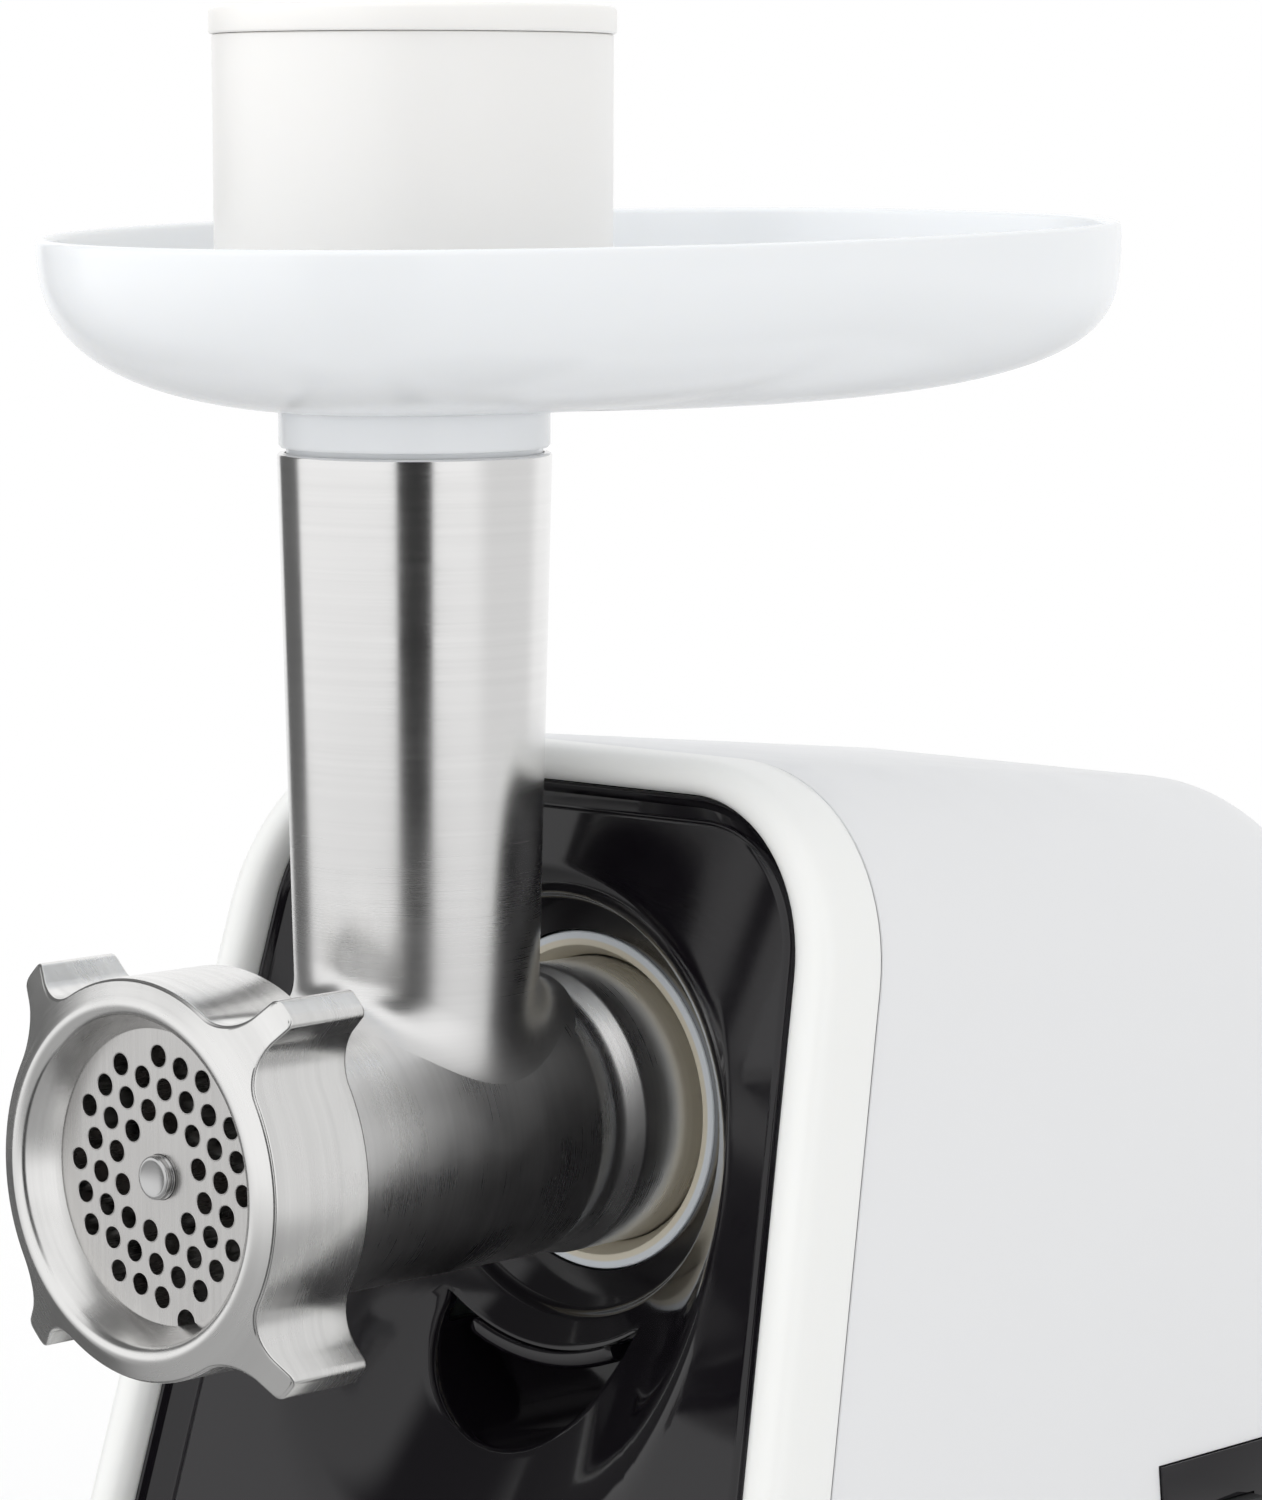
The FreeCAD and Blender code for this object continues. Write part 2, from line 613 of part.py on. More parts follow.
node("gearbox_case", cut(
    fuse(cut(box(case_size, case_at), cavity), *corner_bosses),
    through(shaft_fit, SHAFT_A), through(shaft_fit, SHAFT_B),
    through("output_radius + running_gap", OUTPUT), through("bearing_radius", MOTOR),
    *screw_holes(corner_places, "Y")))
node("gearbox_cover", cut(
    box((case_size[0], "cover_wall", case_size[2]),
        (case_at[0], f"{SEAT} + {COVER_Y}", CASE_FLOOR)),
    through(shaft_fit, SHAFT_A), through(shaft_fit, SHAFT_B),
    through("output_radius + bush_wall", OUTPUT),
    *screw_holes(corner_places, "Y"), *screw_holes(seat_screw_places, "Y")))
node("gearbox_screws", screws(corner_places, "Y", "screw_length"))
node("output_bush", cut(
    cylinder("output_radius + bush_wall", "cover_wall + gear_gap / 2",
             at_shaft(OUTPUT, COVER_Y), "Y"),
    through("output_radius + running_gap", OUTPUT)))

# Hub: carries the square socket for the auger's tail and the output wheel.
hub_y = "(rear_wall - rear_wall_front + hub_ahead)"
hub_length = f"({COVER_Y} - slide_gap - {hub_y})"
half_socket = "(square_side / 2 + slide_gap)"
node("drive_hub", cut(
    fuse(cylinder("hub_radius", hub_length, on_axis(y=hub_y), "Y"),
         cylinder("output_radius", f"{BRACKET_Y} - {hub_y} - {hub_length}",
                  on_axis(y=f"{hub_y} + {hub_length}"), "Y")),
    box((f"2 * {half_socket}", "square_reach + 2 * slide_gap + 1", f"2 * {half_socket}"),
        on_axis(f"-{half_socket}", f"{hub_y} - 1", f"-{half_socket}"))))

# ---------------------------------------------------------------- motor


def motor_ring(inner, outer, y, length):
    return cut(cylinder(outer, length, at_shaft(MOTOR, y), "Y"), through(inner, MOTOR))


def motor_block(y, length):
    return box(("2 * stator_half_width", length, "2 * stator_half_height"),
               (f"{MOTOR[0]} - stator_half_width", f"{SEAT} + {y}",
                f"{MOTOR[1]} - stator_half_height"))


bolt_places = [(f"({MOTOR[0]} + {side} * (stator_half_width - 3 * bolt_radius))",
                f"({MOTOR[1]} + {level} * (stator_half_height - 3 * bolt_radius))")
               for side in (-1, 1) for level in (-1, 1)]


def bolt_holes():
    return [through("bolt_radius + slide_gap / 3", centre) for centre in bolt_places]


def bearing_bracket(y):
    """A plate with a boss round its ball bearing."""
    boss = cylinder("bearing_radius + boss_wall", "bearing_width", at_shaft(MOTOR, y), "Y")
    return cut(fuse(motor_block(y, "bracket_wall"), boss),
               through("bearing_radius", MOTOR), *bolt_holes())


node("front_bracket", bearing_bracket(BRACKET_Y))
node("rear_bracket", bearing_bracket(REAR_BRACKET_Y))
node("ball_bearings", group(
    motor_ring("motor_shaft_radius + running_gap", "bearing_radius", BRACKET_Y,
               "bearing_width"),
    motor_ring("motor_shaft_radius + running_gap", "bearing_radius", REAR_BRACKET_Y,
               "bearing_width")))
node("stator_core", cut(motor_block(STACK_Y, "stack_length"),
                        through("rotor_radius + air_gap", MOTOR), *bolt_holes()))
node("end_windings", group(
    motor_ring("winding_inner", "winding_outer", f"{STACK_Y} - winding_length",
               "winding_length"),
    motor_ring("winding_inner", "winding_outer", STACK_END_Y, "winding_length")))
node("motor_shaft", cylinder(
    "motor_shaft_radius", f"{REAR_BRACKET_Y} + bearing_width - ({FIRST_Y})",
    at_shaft(MOTOR, FIRST_Y), "Y"))
node("rotor_core", motor_ring("motor_shaft_radius", "rotor_radius", STACK_Y, "stack_length"))
node("commutator", motor_ring("motor_shaft_radius", "commutator_radius", COMMUTATOR_Y,
                              "commutator_length"))
fan_disc = cylinder("fan_radius", "fan_length / 5", at_shaft(MOTOR, FAN_Y), "Y")
fan_hub = cylinder("commutator_radius", "fan_length", at_shaft(MOTOR, FAN_Y), "Y")
blades = []
for index in range(int(number("fan_blades"))):
    blade = box(("fan_radius - 1", "fan_length", "bracket_wall / 2"),
                at_shaft(MOTOR, FAN_Y),
                FreeCAD.Rotation(Vector(0, 1, 0), 360 / number("fan_blades") * index))
    blades.append(blade)
node("cooling_fan", cut(fuse(fan_disc, fan_hub, *blades),
                        through("motor_shaft_radius", MOTOR)))
node("motor_bolts", group(*(
    cylinder("bolt_radius", f"{REAR_BRACKET_Y} + bracket_wall - ({BRACKET_Y})",
             at_shaft(centre, BRACKET_Y), "Y") for centre in bolt_places)))
brush_y = f"{SEAT} + {COMMUTATOR_Y} + (commutator_length - brush_side) / 2"
carbon, holders = [], []
brush_length = "(stator_half_width - commutator_radius - brush_side)"
sleeve_length = f"({brush_length} - brush_reach)"
sleeve_depth = f"({SEAT} + {REAR_BRACKET_Y} - ({brush_y}) + brush_sleeve)"
for side in (-1, 1):
    inner = f"{MOTOR[0]} + {side} * (commutator_radius + slide_gap)"
    low = inner if side > 0 else f"{inner} - {brush_length}"
    brush_at = (low, brush_y, f"{MOTOR[1]} - brush_side / 2")
    carbon.append(box((brush_length, "brush_side", "brush_side"), brush_at))
    sleeve_low = f"{inner} + brush_reach" if side > 0 else low
    holders.append(cut(
        box((sleeve_length, sleeve_depth, "brush_side + 2 * brush_sleeve"),
            (sleeve_low, f"{brush_y} - brush_sleeve", f"{brush_at[2]} - brush_sleeve")),
        box((sleeve_length, "brush_side", "brush_side"),
            (sleeve_low, brush_y, brush_at[2]))))
node("carbon_brushes", group(*carbon))
node("brush_holders", group(*holders))

# ---------------------------------------------------------------- controls

control_zone = box(
    ("base_half_width", "control_length", "control_height"),
    ("base_half_width / 2", f"{SEAT} + control_front", "control_foot"))


def control_opening(extra):
    """The rocker's window and the round button's hole, right through the side."""
    half = f"(rocker_height / 2 + {extra})"
    window = box(("base_half_width", f"rocker_length + 2 * {extra}", f"2 * {half}"),
                 ("base_half_width / 2", f"{SEAT} + rocker_place - rocker_length / 2 - {extra}",
                  f"control_level - {half}"))
    hole = cylinder(f"button_radius + {extra}", "base_half_width",
                    ("base_half_width / 2", f"{SEAT} + button_place", "control_level"), "X")
    return fuse(window, hole)


SIDE_FACE = "(base_half_width - (control_level - foot_height) * side_lean + control_proud)"
rocker_x = f"({SIDE_FACE} + rocker_proud - rocker_body)"


def pivot(extra):
    """The rocker's pin, which turns in two lugs behind the panel."""
    half = f"(rocker_height / 2 + pivot_reach + {extra})"
    return cylinder(f"pivot_radius + {extra}", f"2 * {half}", (
        f"{rocker_x} + pivot_height", f"{SEAT} + rocker_place", f"control_level - {half}"))


lugs = [box(("rocker_body / 2", "pivot_radius * 4", "pivot_reach"),
            (rocker_x, f"{SEAT} + rocker_place - pivot_radius * 2", level))
        for level in ("control_level + rocker_height / 2 + slide_gap",
                      "control_level - rocker_height / 2 - slide_gap - pivot_reach")]
node("control_panel", cut(
    fuse(cut(common(body_block("-control_proud"), control_zone), body_block("shell_wall"),
             control_opening("slide_gap")), *lugs),
    pivot("running_gap")))
node("power_rocker", fuse(pivot("0"), padded(
    ((rocker_x, "-rocker_length / 2"), (f"{rocker_x} + rocker_body - 1.6", "-rocker_length / 2"),
     (f"{rocker_x} + rocker_body - 2.4", "0"),
     (f"{rocker_x} + rocker_body", "rocker_length / 2 - 0.8"),
     (rocker_x, "rocker_length / 2")),
    "rocker_height", ("0", f"{SEAT} + rocker_place", "control_level - rocker_height / 2"),
    role="XY_Plane")))
button_x = f"({SIDE_FACE} + rocker_proud - button_body)"
node("reverse_button", cylinder("button_radius", "button_body", (
    button_x, f"{SEAT} + button_place", "control_level"), "X"))
SWITCH_FACE = f"({button_x} - spring_length)"
node("button_spring", coil_spring(
    "spring_radius", "spring_wire", "spring_pitch", "spring_length - 2 * spring_wire",
    (f"{SWITCH_FACE} + spring_wire", f"{SEAT} + button_place", "control_level"), "X"))
node("switch_block", box(
    ("switch_depth", "control_length - 8", "control_foot + control_height - foot_height"
     " - base_wall - 4"),
    (f"{SWITCH_FACE} - switch_depth", f"{SEAT} + control_front + 4",
     "foot_height + base_wall")))

# ---------------------------------------------------------------- back

grille_plate = common(body_block(), box(
    ("2 * (grille_half_width - seam_gap)", "shell_wall", "grille_height - 2 * seam_gap"),
    ("-grille_half_width + seam_gap", f"{SEAT} + rear_reach - shell_wall",
     "grille_foot + seam_gap")))
louvre_pitch = "(grille_height / (louvre_count + 1))"
slots = [box(("2 * grille_half_width - 16", "rear_reach", "louvre_height"),
             ("-grille_half_width + 8", f"{SEAT} + rear_reach / 2",
              f"grille_foot + {louvre_pitch} * {index + 1} - louvre_height / 2"))
         for index in range(int(number("louvre_count")))]
node("rear_grille", cut(grille_plate, *slots))
node("cord_gland", turned((
    ("gland_bore", "0"), ("gland_radius - seam_gap", "0"),
    ("gland_radius - seam_gap", "shell_wall + 2"), ("gland_radius + 2", "shell_wall + 2"),
    ("gland_radius + 2", "shell_wall + 2 + gland_proud"),
    ("gland_bore", "shell_wall + 2 + gland_proud")),
    ("-gland_side", f"{SEAT} + rear_reach - shell_wall - 2", "gland_level")))

# ---------------------------------------------------------------- grinding head

FRONT = "(-plate_to_seat + plate_proud)"
PLATE_BACK = "(-plate_to_seat + plate_thickness)"
CHAMBER_BACK = f"({PLATE_BACK} + knife_chamber)"
THREAD_BACK = f"({FRONT} + thread_length)"
barrel = turned((
    ("0", FRONT), ("thread_radius", FRONT), ("thread_radius", THREAD_BACK),
    ("barrel_radius", f"{THREAD_BACK} + neck_taper"), ("barrel_radius", "-spigot_ahead - 1"),
    ("spigot_radius", "-spigot_ahead"), ("spigot_radius", "spigot_depth"),
    ("0", "spigot_depth")), on_axis())
TUBE_FOOT = on_axis(y="-tube_to_seat")
tube = cone("tube_foot_radius", "tube_top_radius", "tube_height", TUBE_FOOT)
tube_bore = cone("tube_foot_radius - tube_wall", "tube_top_radius - tube_wall", "tube_height",
                 TUBE_FOOT)
tube_mouth = cylinder("tube_mouth_radius", "tube_mouth_depth", on_axis(
    y="-tube_to_seat", z="tube_height - tube_mouth_depth"))
REAR_WALL_BACK = "(-rear_wall_front + rear_wall)"
barrel_bore = turned((
    ("0", f"{FRONT} - 1"), ("plate_radius + slide_gap", f"{FRONT} - 1"),
    ("plate_radius + slide_gap", PLATE_BACK), ("knife_chamber_radius", PLATE_BACK),
    ("knife_chamber_radius", CHAMBER_BACK), ("barrel_bore_radius", CHAMBER_BACK),
    ("barrel_bore_radius", "-rear_wall_front"),
    ("journal_radius + running_gap", "-rear_wall_front"),
    ("journal_radius + running_gap", REAR_WALL_BACK), ("rear_cavity_radius", REAR_WALL_BACK),
    ("rear_cavity_radius", "spigot_depth + 1"), ("0", "spigot_depth + 1")), on_axis())
NOTCH_TURN = "(120 - lattice_turn)"


def by_notch(out, aside, y):
    """A point out from the axis towards the plate's notch, and aside from that line."""
    return on_axis(f"{out} * cos{NOTCH_TURN} + {aside} * sin{NOTCH_TURN}", y,
                   f"{aside} * cos{NOTCH_TURN} - {out} * sin{NOTCH_TURN}")


plate_key = cylinder("notch_radius - slide_gap", "plate_thickness - plate_proud + 1",
                     by_notch("key_centre", "0", FRONT), "Y")
node("head_casting", fuse(cut(fuse(barrel, tube), barrel_bore, tube_bore, tube_mouth), plate_key))

# ---------------------------------------------------------------- rotating tools

AUGER_FRONT = f"({CHAMBER_BACK} - 1.5)"
auger = document.addObject("PartDesign::Body", "auger_body")
flight_root = "barrel_bore_radius - slide_gap - slide_gap"
flight = sketch_in(auger, "YZ_Plane", (
    (f"{AUGER_FRONT} + 2", "auger_core_radius - 1"),
    (f"{AUGER_FRONT} + 2 + flight_root", "auger_core_radius - 1"),
    (f"{AUGER_FRONT} + 2 + (flight_root + flight_tip) / 2", flight_root),
    (f"{AUGER_FRONT} + 2 + (flight_root - flight_tip) / 2", flight_root)))
helix = auger.newObject("PartDesign::AdditiveHelix", "flight")
helix.Profile = flight
helix.ReferenceAxis = (flight, ["H_Axis"])
helix.Mode = 0
bind(helix, {"Pitch": "flight_pitch", "Height": f"-rear_wall_front - washer_thickness - 2 * "
             f"slide_gap - flight_root - 2 - ({AUGER_FRONT})"})
core = sketch_in(auger, "XY_Plane", (
    ("0", AUGER_FRONT), ("auger_core_radius", AUGER_FRONT),
    ("auger_core_radius", "-rear_wall_front - washer_thickness - slide_gap"),
    ("journal_radius", "-rear_wall_front - washer_thickness - slide_gap"),
    ("journal_radius", REAR_WALL_BACK), ("0", REAR_WALL_BACK)))
core_spin = auger.newObject("PartDesign::Revolution", "core")
core_spin.Profile = core
core_spin.ReferenceAxis = (core, ["V_Axis"])
core_spin.Angle = 360
place(auger, on_axis())
node("auger", auger)
node("auger_washer", cut(
    cylinder("washer_radius", "washer_thickness",
             on_axis(y="-rear_wall_front - washer_thickness"), "Y"),
    cylinder("journal_radius + running_gap", "washer_thickness * 3",
             on_axis(y="-rear_wall_front - washer_thickness * 2"), "Y")))
half_square = "(square_side / 2)"
node("auger_drive_square", box(
    ("square_side", "square_reach", "square_side"),
    on_axis(f"-{half_square}", REAR_WALL_BACK, f"-{half_square}")))

# Front end of the auger: a square for the knife, then the round pin through the plate.
node("auger_pin", fuse(
    box(("square_side", f"{AUGER_FRONT} - ({PLATE_BACK})", "square_side"),
        on_axis(f"-{half_square}", PLATE_BACK, f"-{half_square}")),
    turned((("0", "-plate_to_seat - pin_proud"), ("pin_radius - 1", "-plate_to_seat - pin_proud"),
            ("pin_radius", "-plate_to_seat - pin_proud + 1"), ("pin_radius", PLATE_BACK),
            ("0", PLATE_BACK)), on_axis())))
blade_bar = ("2 * knife_radius", "knife_thickness - 3", "knife_arm")
knife_cross = fuse(
    box(blade_bar, on_axis("-knife_radius", PLATE_BACK, "-knife_arm / 2")),
    box((blade_bar[2], blade_bar[1], blade_bar[0]),
        on_axis("-knife_arm / 2", PLATE_BACK, "-knife_radius")),
    cylinder("knife_hub_radius", "knife_thickness", on_axis(y=PLATE_BACK), "Y"))
node("knife", cut(
    common(knife_cross, cylinder("knife_radius", "knife_thickness", on_axis(y=PLATE_BACK), "Y")),
    box(("square_side", "knife_thickness * 2", "square_side"),
        on_axis(f"-{half_square}", f"{PLATE_BACK} - knife_thickness / 2", f"-{half_square}"))))

# ---------------------------------------------------------------- cutting plate

plate_disc = cylinder("plate_radius", "plate_thickness", on_axis(y="-plate_to_seat"), "Y")
plate_cuts = [cylinder("pin_radius + running_gap", "plate_thickness * 3",
                       on_axis(y="-plate_to_seat - plate_thickness"), "Y")]
RINGS = 4
for across in range(-RINGS, RINGS + 1):
    for up in range(-RINGS, RINGS + 1):
        ring = max(abs(across), abs(up), abs(across + up))
        corner = ring == RINGS and 0 in (across, up, across + up)
        if ring < 2 or ring > RINGS or corner:
            continue
        east, north = across + up / 2, up * math.sqrt(3) / 2
        plate_cuts.append(cylinder("hole_radius", "plate_thickness * 3", on_axis(
            f"hole_pitch * ({east} * cos(lattice_turn) - {north} * sin(lattice_turn))",
            "-plate_to_seat - plate_thickness",
            f"hole_pitch * ({east} * sin(lattice_turn) + {north} * cos(lattice_turn))"), "Y"))
notch_turn = FreeCAD.Rotation(Vector(0, 1, 0), 120 - number("lattice_turn"))
PAST_PLATE = "-plate_to_seat - plate_thickness"
plate_cuts += [
    cylinder("notch_radius", "plate_thickness * 3", by_notch("notch_centre", "0", PAST_PLATE), "Y"),
    box(("plate_radius - notch_centre + 1", "plate_thickness * 3", "2 * notch_radius"),
        by_notch("notch_centre", "-notch_radius", PAST_PLATE), notch_turn)]
node("cutting_plate", cut(plate_disc, *plate_cuts))

# ---------------------------------------------------------------- ring nut

RING_FRONT = "(-plate_to_seat - ring_lip_ahead)"
RING_BACK = f"({RING_FRONT} + ring_length)"
lobes = [
    box(("2 * lobe_reach", "ring_length", "lobe_width"), on_axis(
        f"-lobe_reach * cos({turn}) - lobe_width / 2 * sin({turn})", RING_FRONT,
        f"lobe_reach * sin({turn}) - lobe_width / 2 * cos({turn})"),
        FreeCAD.Rotation(Vector(0, 1, 0), turn))
    for turn in (45, 135)]
ring_blank = fuse(cylinder("ring_radius", "ring_length", on_axis(y=RING_FRONT), "Y"), *lobes)


def lobe_root(edge):
    ends = [vertex.Point for vertex in edge.Vertexes]
    if len(ends) != 2 or abs(ends[0].x - ends[1].x) + abs(ends[0].z - ends[1].z) > 0.01:
        return False
    radius = math.hypot(ends[0].x, ends[0].z - number("axis_height"))
    return abs(radius - number("ring_radius")) < 0.1


node("ring_nut", cut(
    common(rounded(ring_blank, "lobe_blend", lobe_root), turned((
        ("0", RING_FRONT), ("lip_radius + 1.5", RING_FRONT),
        ("lobe_reach", f"{RING_FRONT} + ring_slope"), ("lobe_reach", RING_BACK),
        ("0", RING_BACK)), on_axis())),
    turned((("0", f"{RING_FRONT} - 1"), ("lip_radius", f"{RING_FRONT} - 1"),
            ("lip_radius", RING_FRONT), ("lip_inner_radius", "-plate_to_seat"),
            ("thread_radius + slide_gap", "-plate_to_seat"),
            ("thread_radius + slide_gap", f"{RING_BACK} + 1"), ("0", f"{RING_BACK} + 1")),
           on_axis())))

# ---------------------------------------------------------------- tray


def tray_form(inset, lift, top):
    """A bowl whose level outlines are ellipses shrunk about the feed tube's axis."""
    outlines = []
    for share in (0.3, 0.55, 0.75, 0.88, 0.95, 0.985, 1):
        outline = document.addObject("Part::Ellipse", "outline")
        rise = f"tray_depth * (1 - (1 - {share} ^ tray_roundness) ^ (1 / tray_roundness))"
        extra = top if share == 1 else "0"
        bind(outline, {"MajorRadius": f"tray_half_length * {share} - {inset}",
                       "MinorRadius": f"tray_half_width * {share} - {inset}"})
        place(outline, ("0", f"tray_centre * {share}", f"{rise} + {lift} + {extra}"),
              FreeCAD.Rotation(Vector(0, 0, 1), 90))
        outlines.append(outline)
    form = document.addObject("Part::Loft", "tray_form")
    form.Sections = outlines
    form.Solid = True
    form.Ruled = False
    return place(form, on_axis(y="-tube_to_seat", z="tray_bottom"),
                 FreeCAD.Rotation(Vector(1, 0, 0), number("tray_tilt")))


def on_tube(radius, low, high):
    return cylinder(radius, f"({high}) - ({low})", on_axis(y="-tube_to_seat", z=low))


node("tray", cut(
    fuse(cut(tray_form("0", "0", "0"), tray_form("tray_wall", "tray_wall", "0.01")),
         on_tube("collar_radius", "tube_height + collar_gap", "tray_bottom + tray_wall"),
         on_tube("tube_mouth_radius - slide_gap", "tube_height - tray_spigot",
                 "tray_bottom + tray_wall")),
    on_tube("tube_mouth_radius - slide_gap - spigot_wall", "0", "tray_bottom + tray_depth")))

# ---------------------------------------------------------------- pusher

PUSHER_AT = on_axis(y="-tube_to_seat")
node("pusher", turned((
    ("0", "plunger_tip"), ("plunger_radius", "plunger_tip"),
    ("plunger_radius", "pusher_floor"), ("pusher_foot_radius", "pusher_floor"),
    ("pusher_radius", "pusher_top"), ("pusher_radius - pusher_wall", "pusher_top"),
    ("pusher_foot_radius - pusher_wall", "pusher_floor + pusher_wall"),
    ("plunger_radius - plunger_wall", "pusher_floor + pusher_wall"),
    ("plunger_radius - plunger_wall", "plunger_tip + plunger_wall"),
    ("0", "plunger_tip + plunger_wall")), PUSHER_AT, along="Z"))
node("pusher_lid", turned((
    ("0", "pusher_top"), ("pusher_radius - pusher_wall - 2 * slide_gap - 2", "pusher_top"),
    ("pusher_radius - pusher_wall - 2 * slide_gap - 2", "pusher_top - lid_plug"),
    ("pusher_radius - pusher_wall - 2 * slide_gap", "pusher_top - lid_plug"),
    ("pusher_radius - pusher_wall - 2 * slide_gap", "pusher_top"),
    ("lid_radius", "pusher_top"), ("lid_radius", "pusher_top + lid_height"),
    ("0", "pusher_top + lid_height")), PUSHER_AT, along="Z"))

document.recompute()
for thing in document.Objects:
    if "Invalid" in thing.State or "Error" in thing.State:
        raise RuntimeError(f"{thing.Name} {thing.Label} could not be built: {thing.State}")
os.makedirs("parts", exist_ok=True)
for thing in nodes:
    shape = thing.Shape
    if shape.isNull() or not shape.isValid():
        raise RuntimeError(f"{thing.Label} has no valid shape")
    shape.exportStep(f"parts/{thing.Label}.step")
    print(thing.Label, len(shape.Solids), round(shape.Volume))
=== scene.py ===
import json
import math

import bmesh
import bpy
import numpy as np
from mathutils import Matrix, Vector

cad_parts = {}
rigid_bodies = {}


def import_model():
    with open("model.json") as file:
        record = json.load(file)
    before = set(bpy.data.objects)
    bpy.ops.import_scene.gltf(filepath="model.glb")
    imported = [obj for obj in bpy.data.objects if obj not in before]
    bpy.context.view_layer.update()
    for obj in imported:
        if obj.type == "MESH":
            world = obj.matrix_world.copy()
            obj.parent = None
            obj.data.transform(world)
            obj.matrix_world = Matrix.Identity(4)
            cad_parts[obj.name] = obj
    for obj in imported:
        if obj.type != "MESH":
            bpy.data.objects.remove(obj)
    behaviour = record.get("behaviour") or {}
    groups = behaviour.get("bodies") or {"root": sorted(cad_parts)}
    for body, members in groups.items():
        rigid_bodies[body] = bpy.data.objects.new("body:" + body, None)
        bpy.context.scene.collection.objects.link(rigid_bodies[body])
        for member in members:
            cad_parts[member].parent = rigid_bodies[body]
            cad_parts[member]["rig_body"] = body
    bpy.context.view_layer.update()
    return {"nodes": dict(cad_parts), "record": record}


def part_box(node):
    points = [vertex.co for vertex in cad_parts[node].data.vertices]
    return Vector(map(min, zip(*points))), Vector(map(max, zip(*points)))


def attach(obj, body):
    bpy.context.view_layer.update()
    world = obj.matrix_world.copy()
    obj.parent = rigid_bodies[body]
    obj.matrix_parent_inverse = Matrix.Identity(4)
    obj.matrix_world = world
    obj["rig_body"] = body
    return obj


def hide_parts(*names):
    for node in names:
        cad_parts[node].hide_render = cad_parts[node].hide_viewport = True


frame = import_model()

# Electric meat grinder. Sizes below are in millimetres; y is measured back from the seat, the
# plane where the grinding head enters the housing, and h up from the grinding axis.

MM = 0.001
socket_low, socket_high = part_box("seat_ring")
SEAT_Y = socket_low.y
AXIS_Z = (socket_low.z + socket_high.z) / 2
TUBE_Y = -47.1
FLOOR_H = -AXIS_Z / MM
PLATE_FRONT, PLATE_BACK, PLATE_RADIUS = -112.8, -107.8, 31.0
HEAD_FRONT, CHAMBER_BACK, THREAD_BACK = -111.8, -97.8, -95.6
LATTICE_TURN = math.radians(44.5)
NOTCH_TURN = LATTICE_TURN - math.radians(120)


def at(x, y, h):
    return (x * MM, SEAT_Y + y * MM, AXIS_Z + h * MM)


# ---------------------------------------------------------------- materials

class Nodes:
    """A short way to write a material's nodes."""

    def __init__(self, name):
        self.material = bpy.data.materials.new(name)
        self.material.use_nodes = True
        self.tree = self.material.node_tree
        self.shader = self.tree.nodes["Principled BSDF"]
        self.place = self.add("ShaderNodeTexCoord").outputs["Object"]

    def add(self, kind, **values):
        made = self.tree.nodes.new(kind)
        for key, value in values.items():
            if hasattr(made, key):
                setattr(made, key, value)
        return made

    def link(self, source, target):
        if isinstance(source, (int, float, tuple)):
            target.default_value = source
        else:
            self.tree.links.new(source, target)

    def stretched(self, scale, centre=(0, 0, 0)):
        node = self.add("ShaderNodeMapping", vector_type="TEXTURE")
        node.inputs["Location"].default_value = centre
        node.inputs["Scale"].default_value = tuple(1 / s for s in scale)
        self.link(self.place, node.inputs["Vector"])
        return node.outputs["Vector"]

    def noise(self, size, detail=3.0, rough=0.55, vector=None):
        """Noise whose features are about size metres across."""
        node = self.add("ShaderNodeTexNoise")
        self.link(vector or self.place, node.inputs["Vector"])
        node.inputs["Scale"].default_value = 1 / size
        node.inputs["Detail"].default_value = detail
        node.inputs["Roughness"].default_value = rough
        return node.outputs["Fac"]

    def spread(self, value, low, high, start=0.0, end=1.0):
        node = self.add("ShaderNodeMapRange")
        self.link(value, node.inputs["Value"])
        for key, number in (("From Min", start), ("From Max", end), ("To Min", low),
                            ("To Max", high)):
            self.link(number, node.inputs[key])
        return node.outputs["Result"]

    def tint(self, value, low, high):
        node = self.add("ShaderNodeMix", data_type="RGBA")
        self.link(value, node.inputs["Factor"])
        colours = [s for s in node.inputs if s.type == "RGBA"]
        colours[0].default_value = (*low, 1)
        colours[1].default_value = (*high, 1)
        return next(s for s in node.outputs if s.type == "RGBA")

    def sums(self, first, second, operation="ADD"):
        node = self.add("ShaderNodeMath", operation=operation)
        self.link(first, node.inputs[0])
        self.link(second, node.inputs[1])
        return node.outputs[0]

    def bump(self, height, strength, distance):
        node = self.add("ShaderNodeBump")
        self.link(height, node.inputs["Height"])
        node.inputs["Strength"].default_value = strength
        node.inputs["Distance"].default_value = distance
        self.link(node.outputs["Normal"], self.shader.inputs["Normal"])

    def finish(self, colour, roughness, metal=0.0, **others):
        self.link(colour if not isinstance(colour, tuple) else (*colour, 1),
                  self.shader.inputs["Base Color"])
        self.link(roughness, self.shader.inputs["Roughness"])
        self.link(metal, self.shader.inputs["Metallic"])
        for key, value in others.items():
            self.link(value, self.shader.inputs[key.replace("_", " ")])
        return self.material


def plastic(name, colour, roughness, grain=0.00035, depth=0.00001, shade=0.03, scatter=0.0,
            wear=0.25):
    """Moulded plastic: a fine grain, a slow drift of tone, and faint rubbed patches."""
    n = Nodes(name)
    fine = n.noise(grain, 2.0)
    slow = n.noise(0.045, 2.0)
    rubbed = n.spread(n.noise(0.012, 6.0, 0.62), 0, 1, 0.45, 0.72)
    darker = tuple(c * (1 - shade) for c in colour)
    tone = n.tint(slow, darker, colour)
    gloss = n.spread(rubbed, roughness, roughness * (1 + wear))
    n.bump(fine, 0.35, depth)
    others = {}
    if scatter:
        others = {"Subsurface_Weight": scatter, "Subsurface_Scale": 0.004,
                  "Subsurface_Radius": (1.0, 0.95, 0.85)}
    return n.finish(tone, n.sums(gloss, n.spread(fine, -0.02, 0.02)), **others)


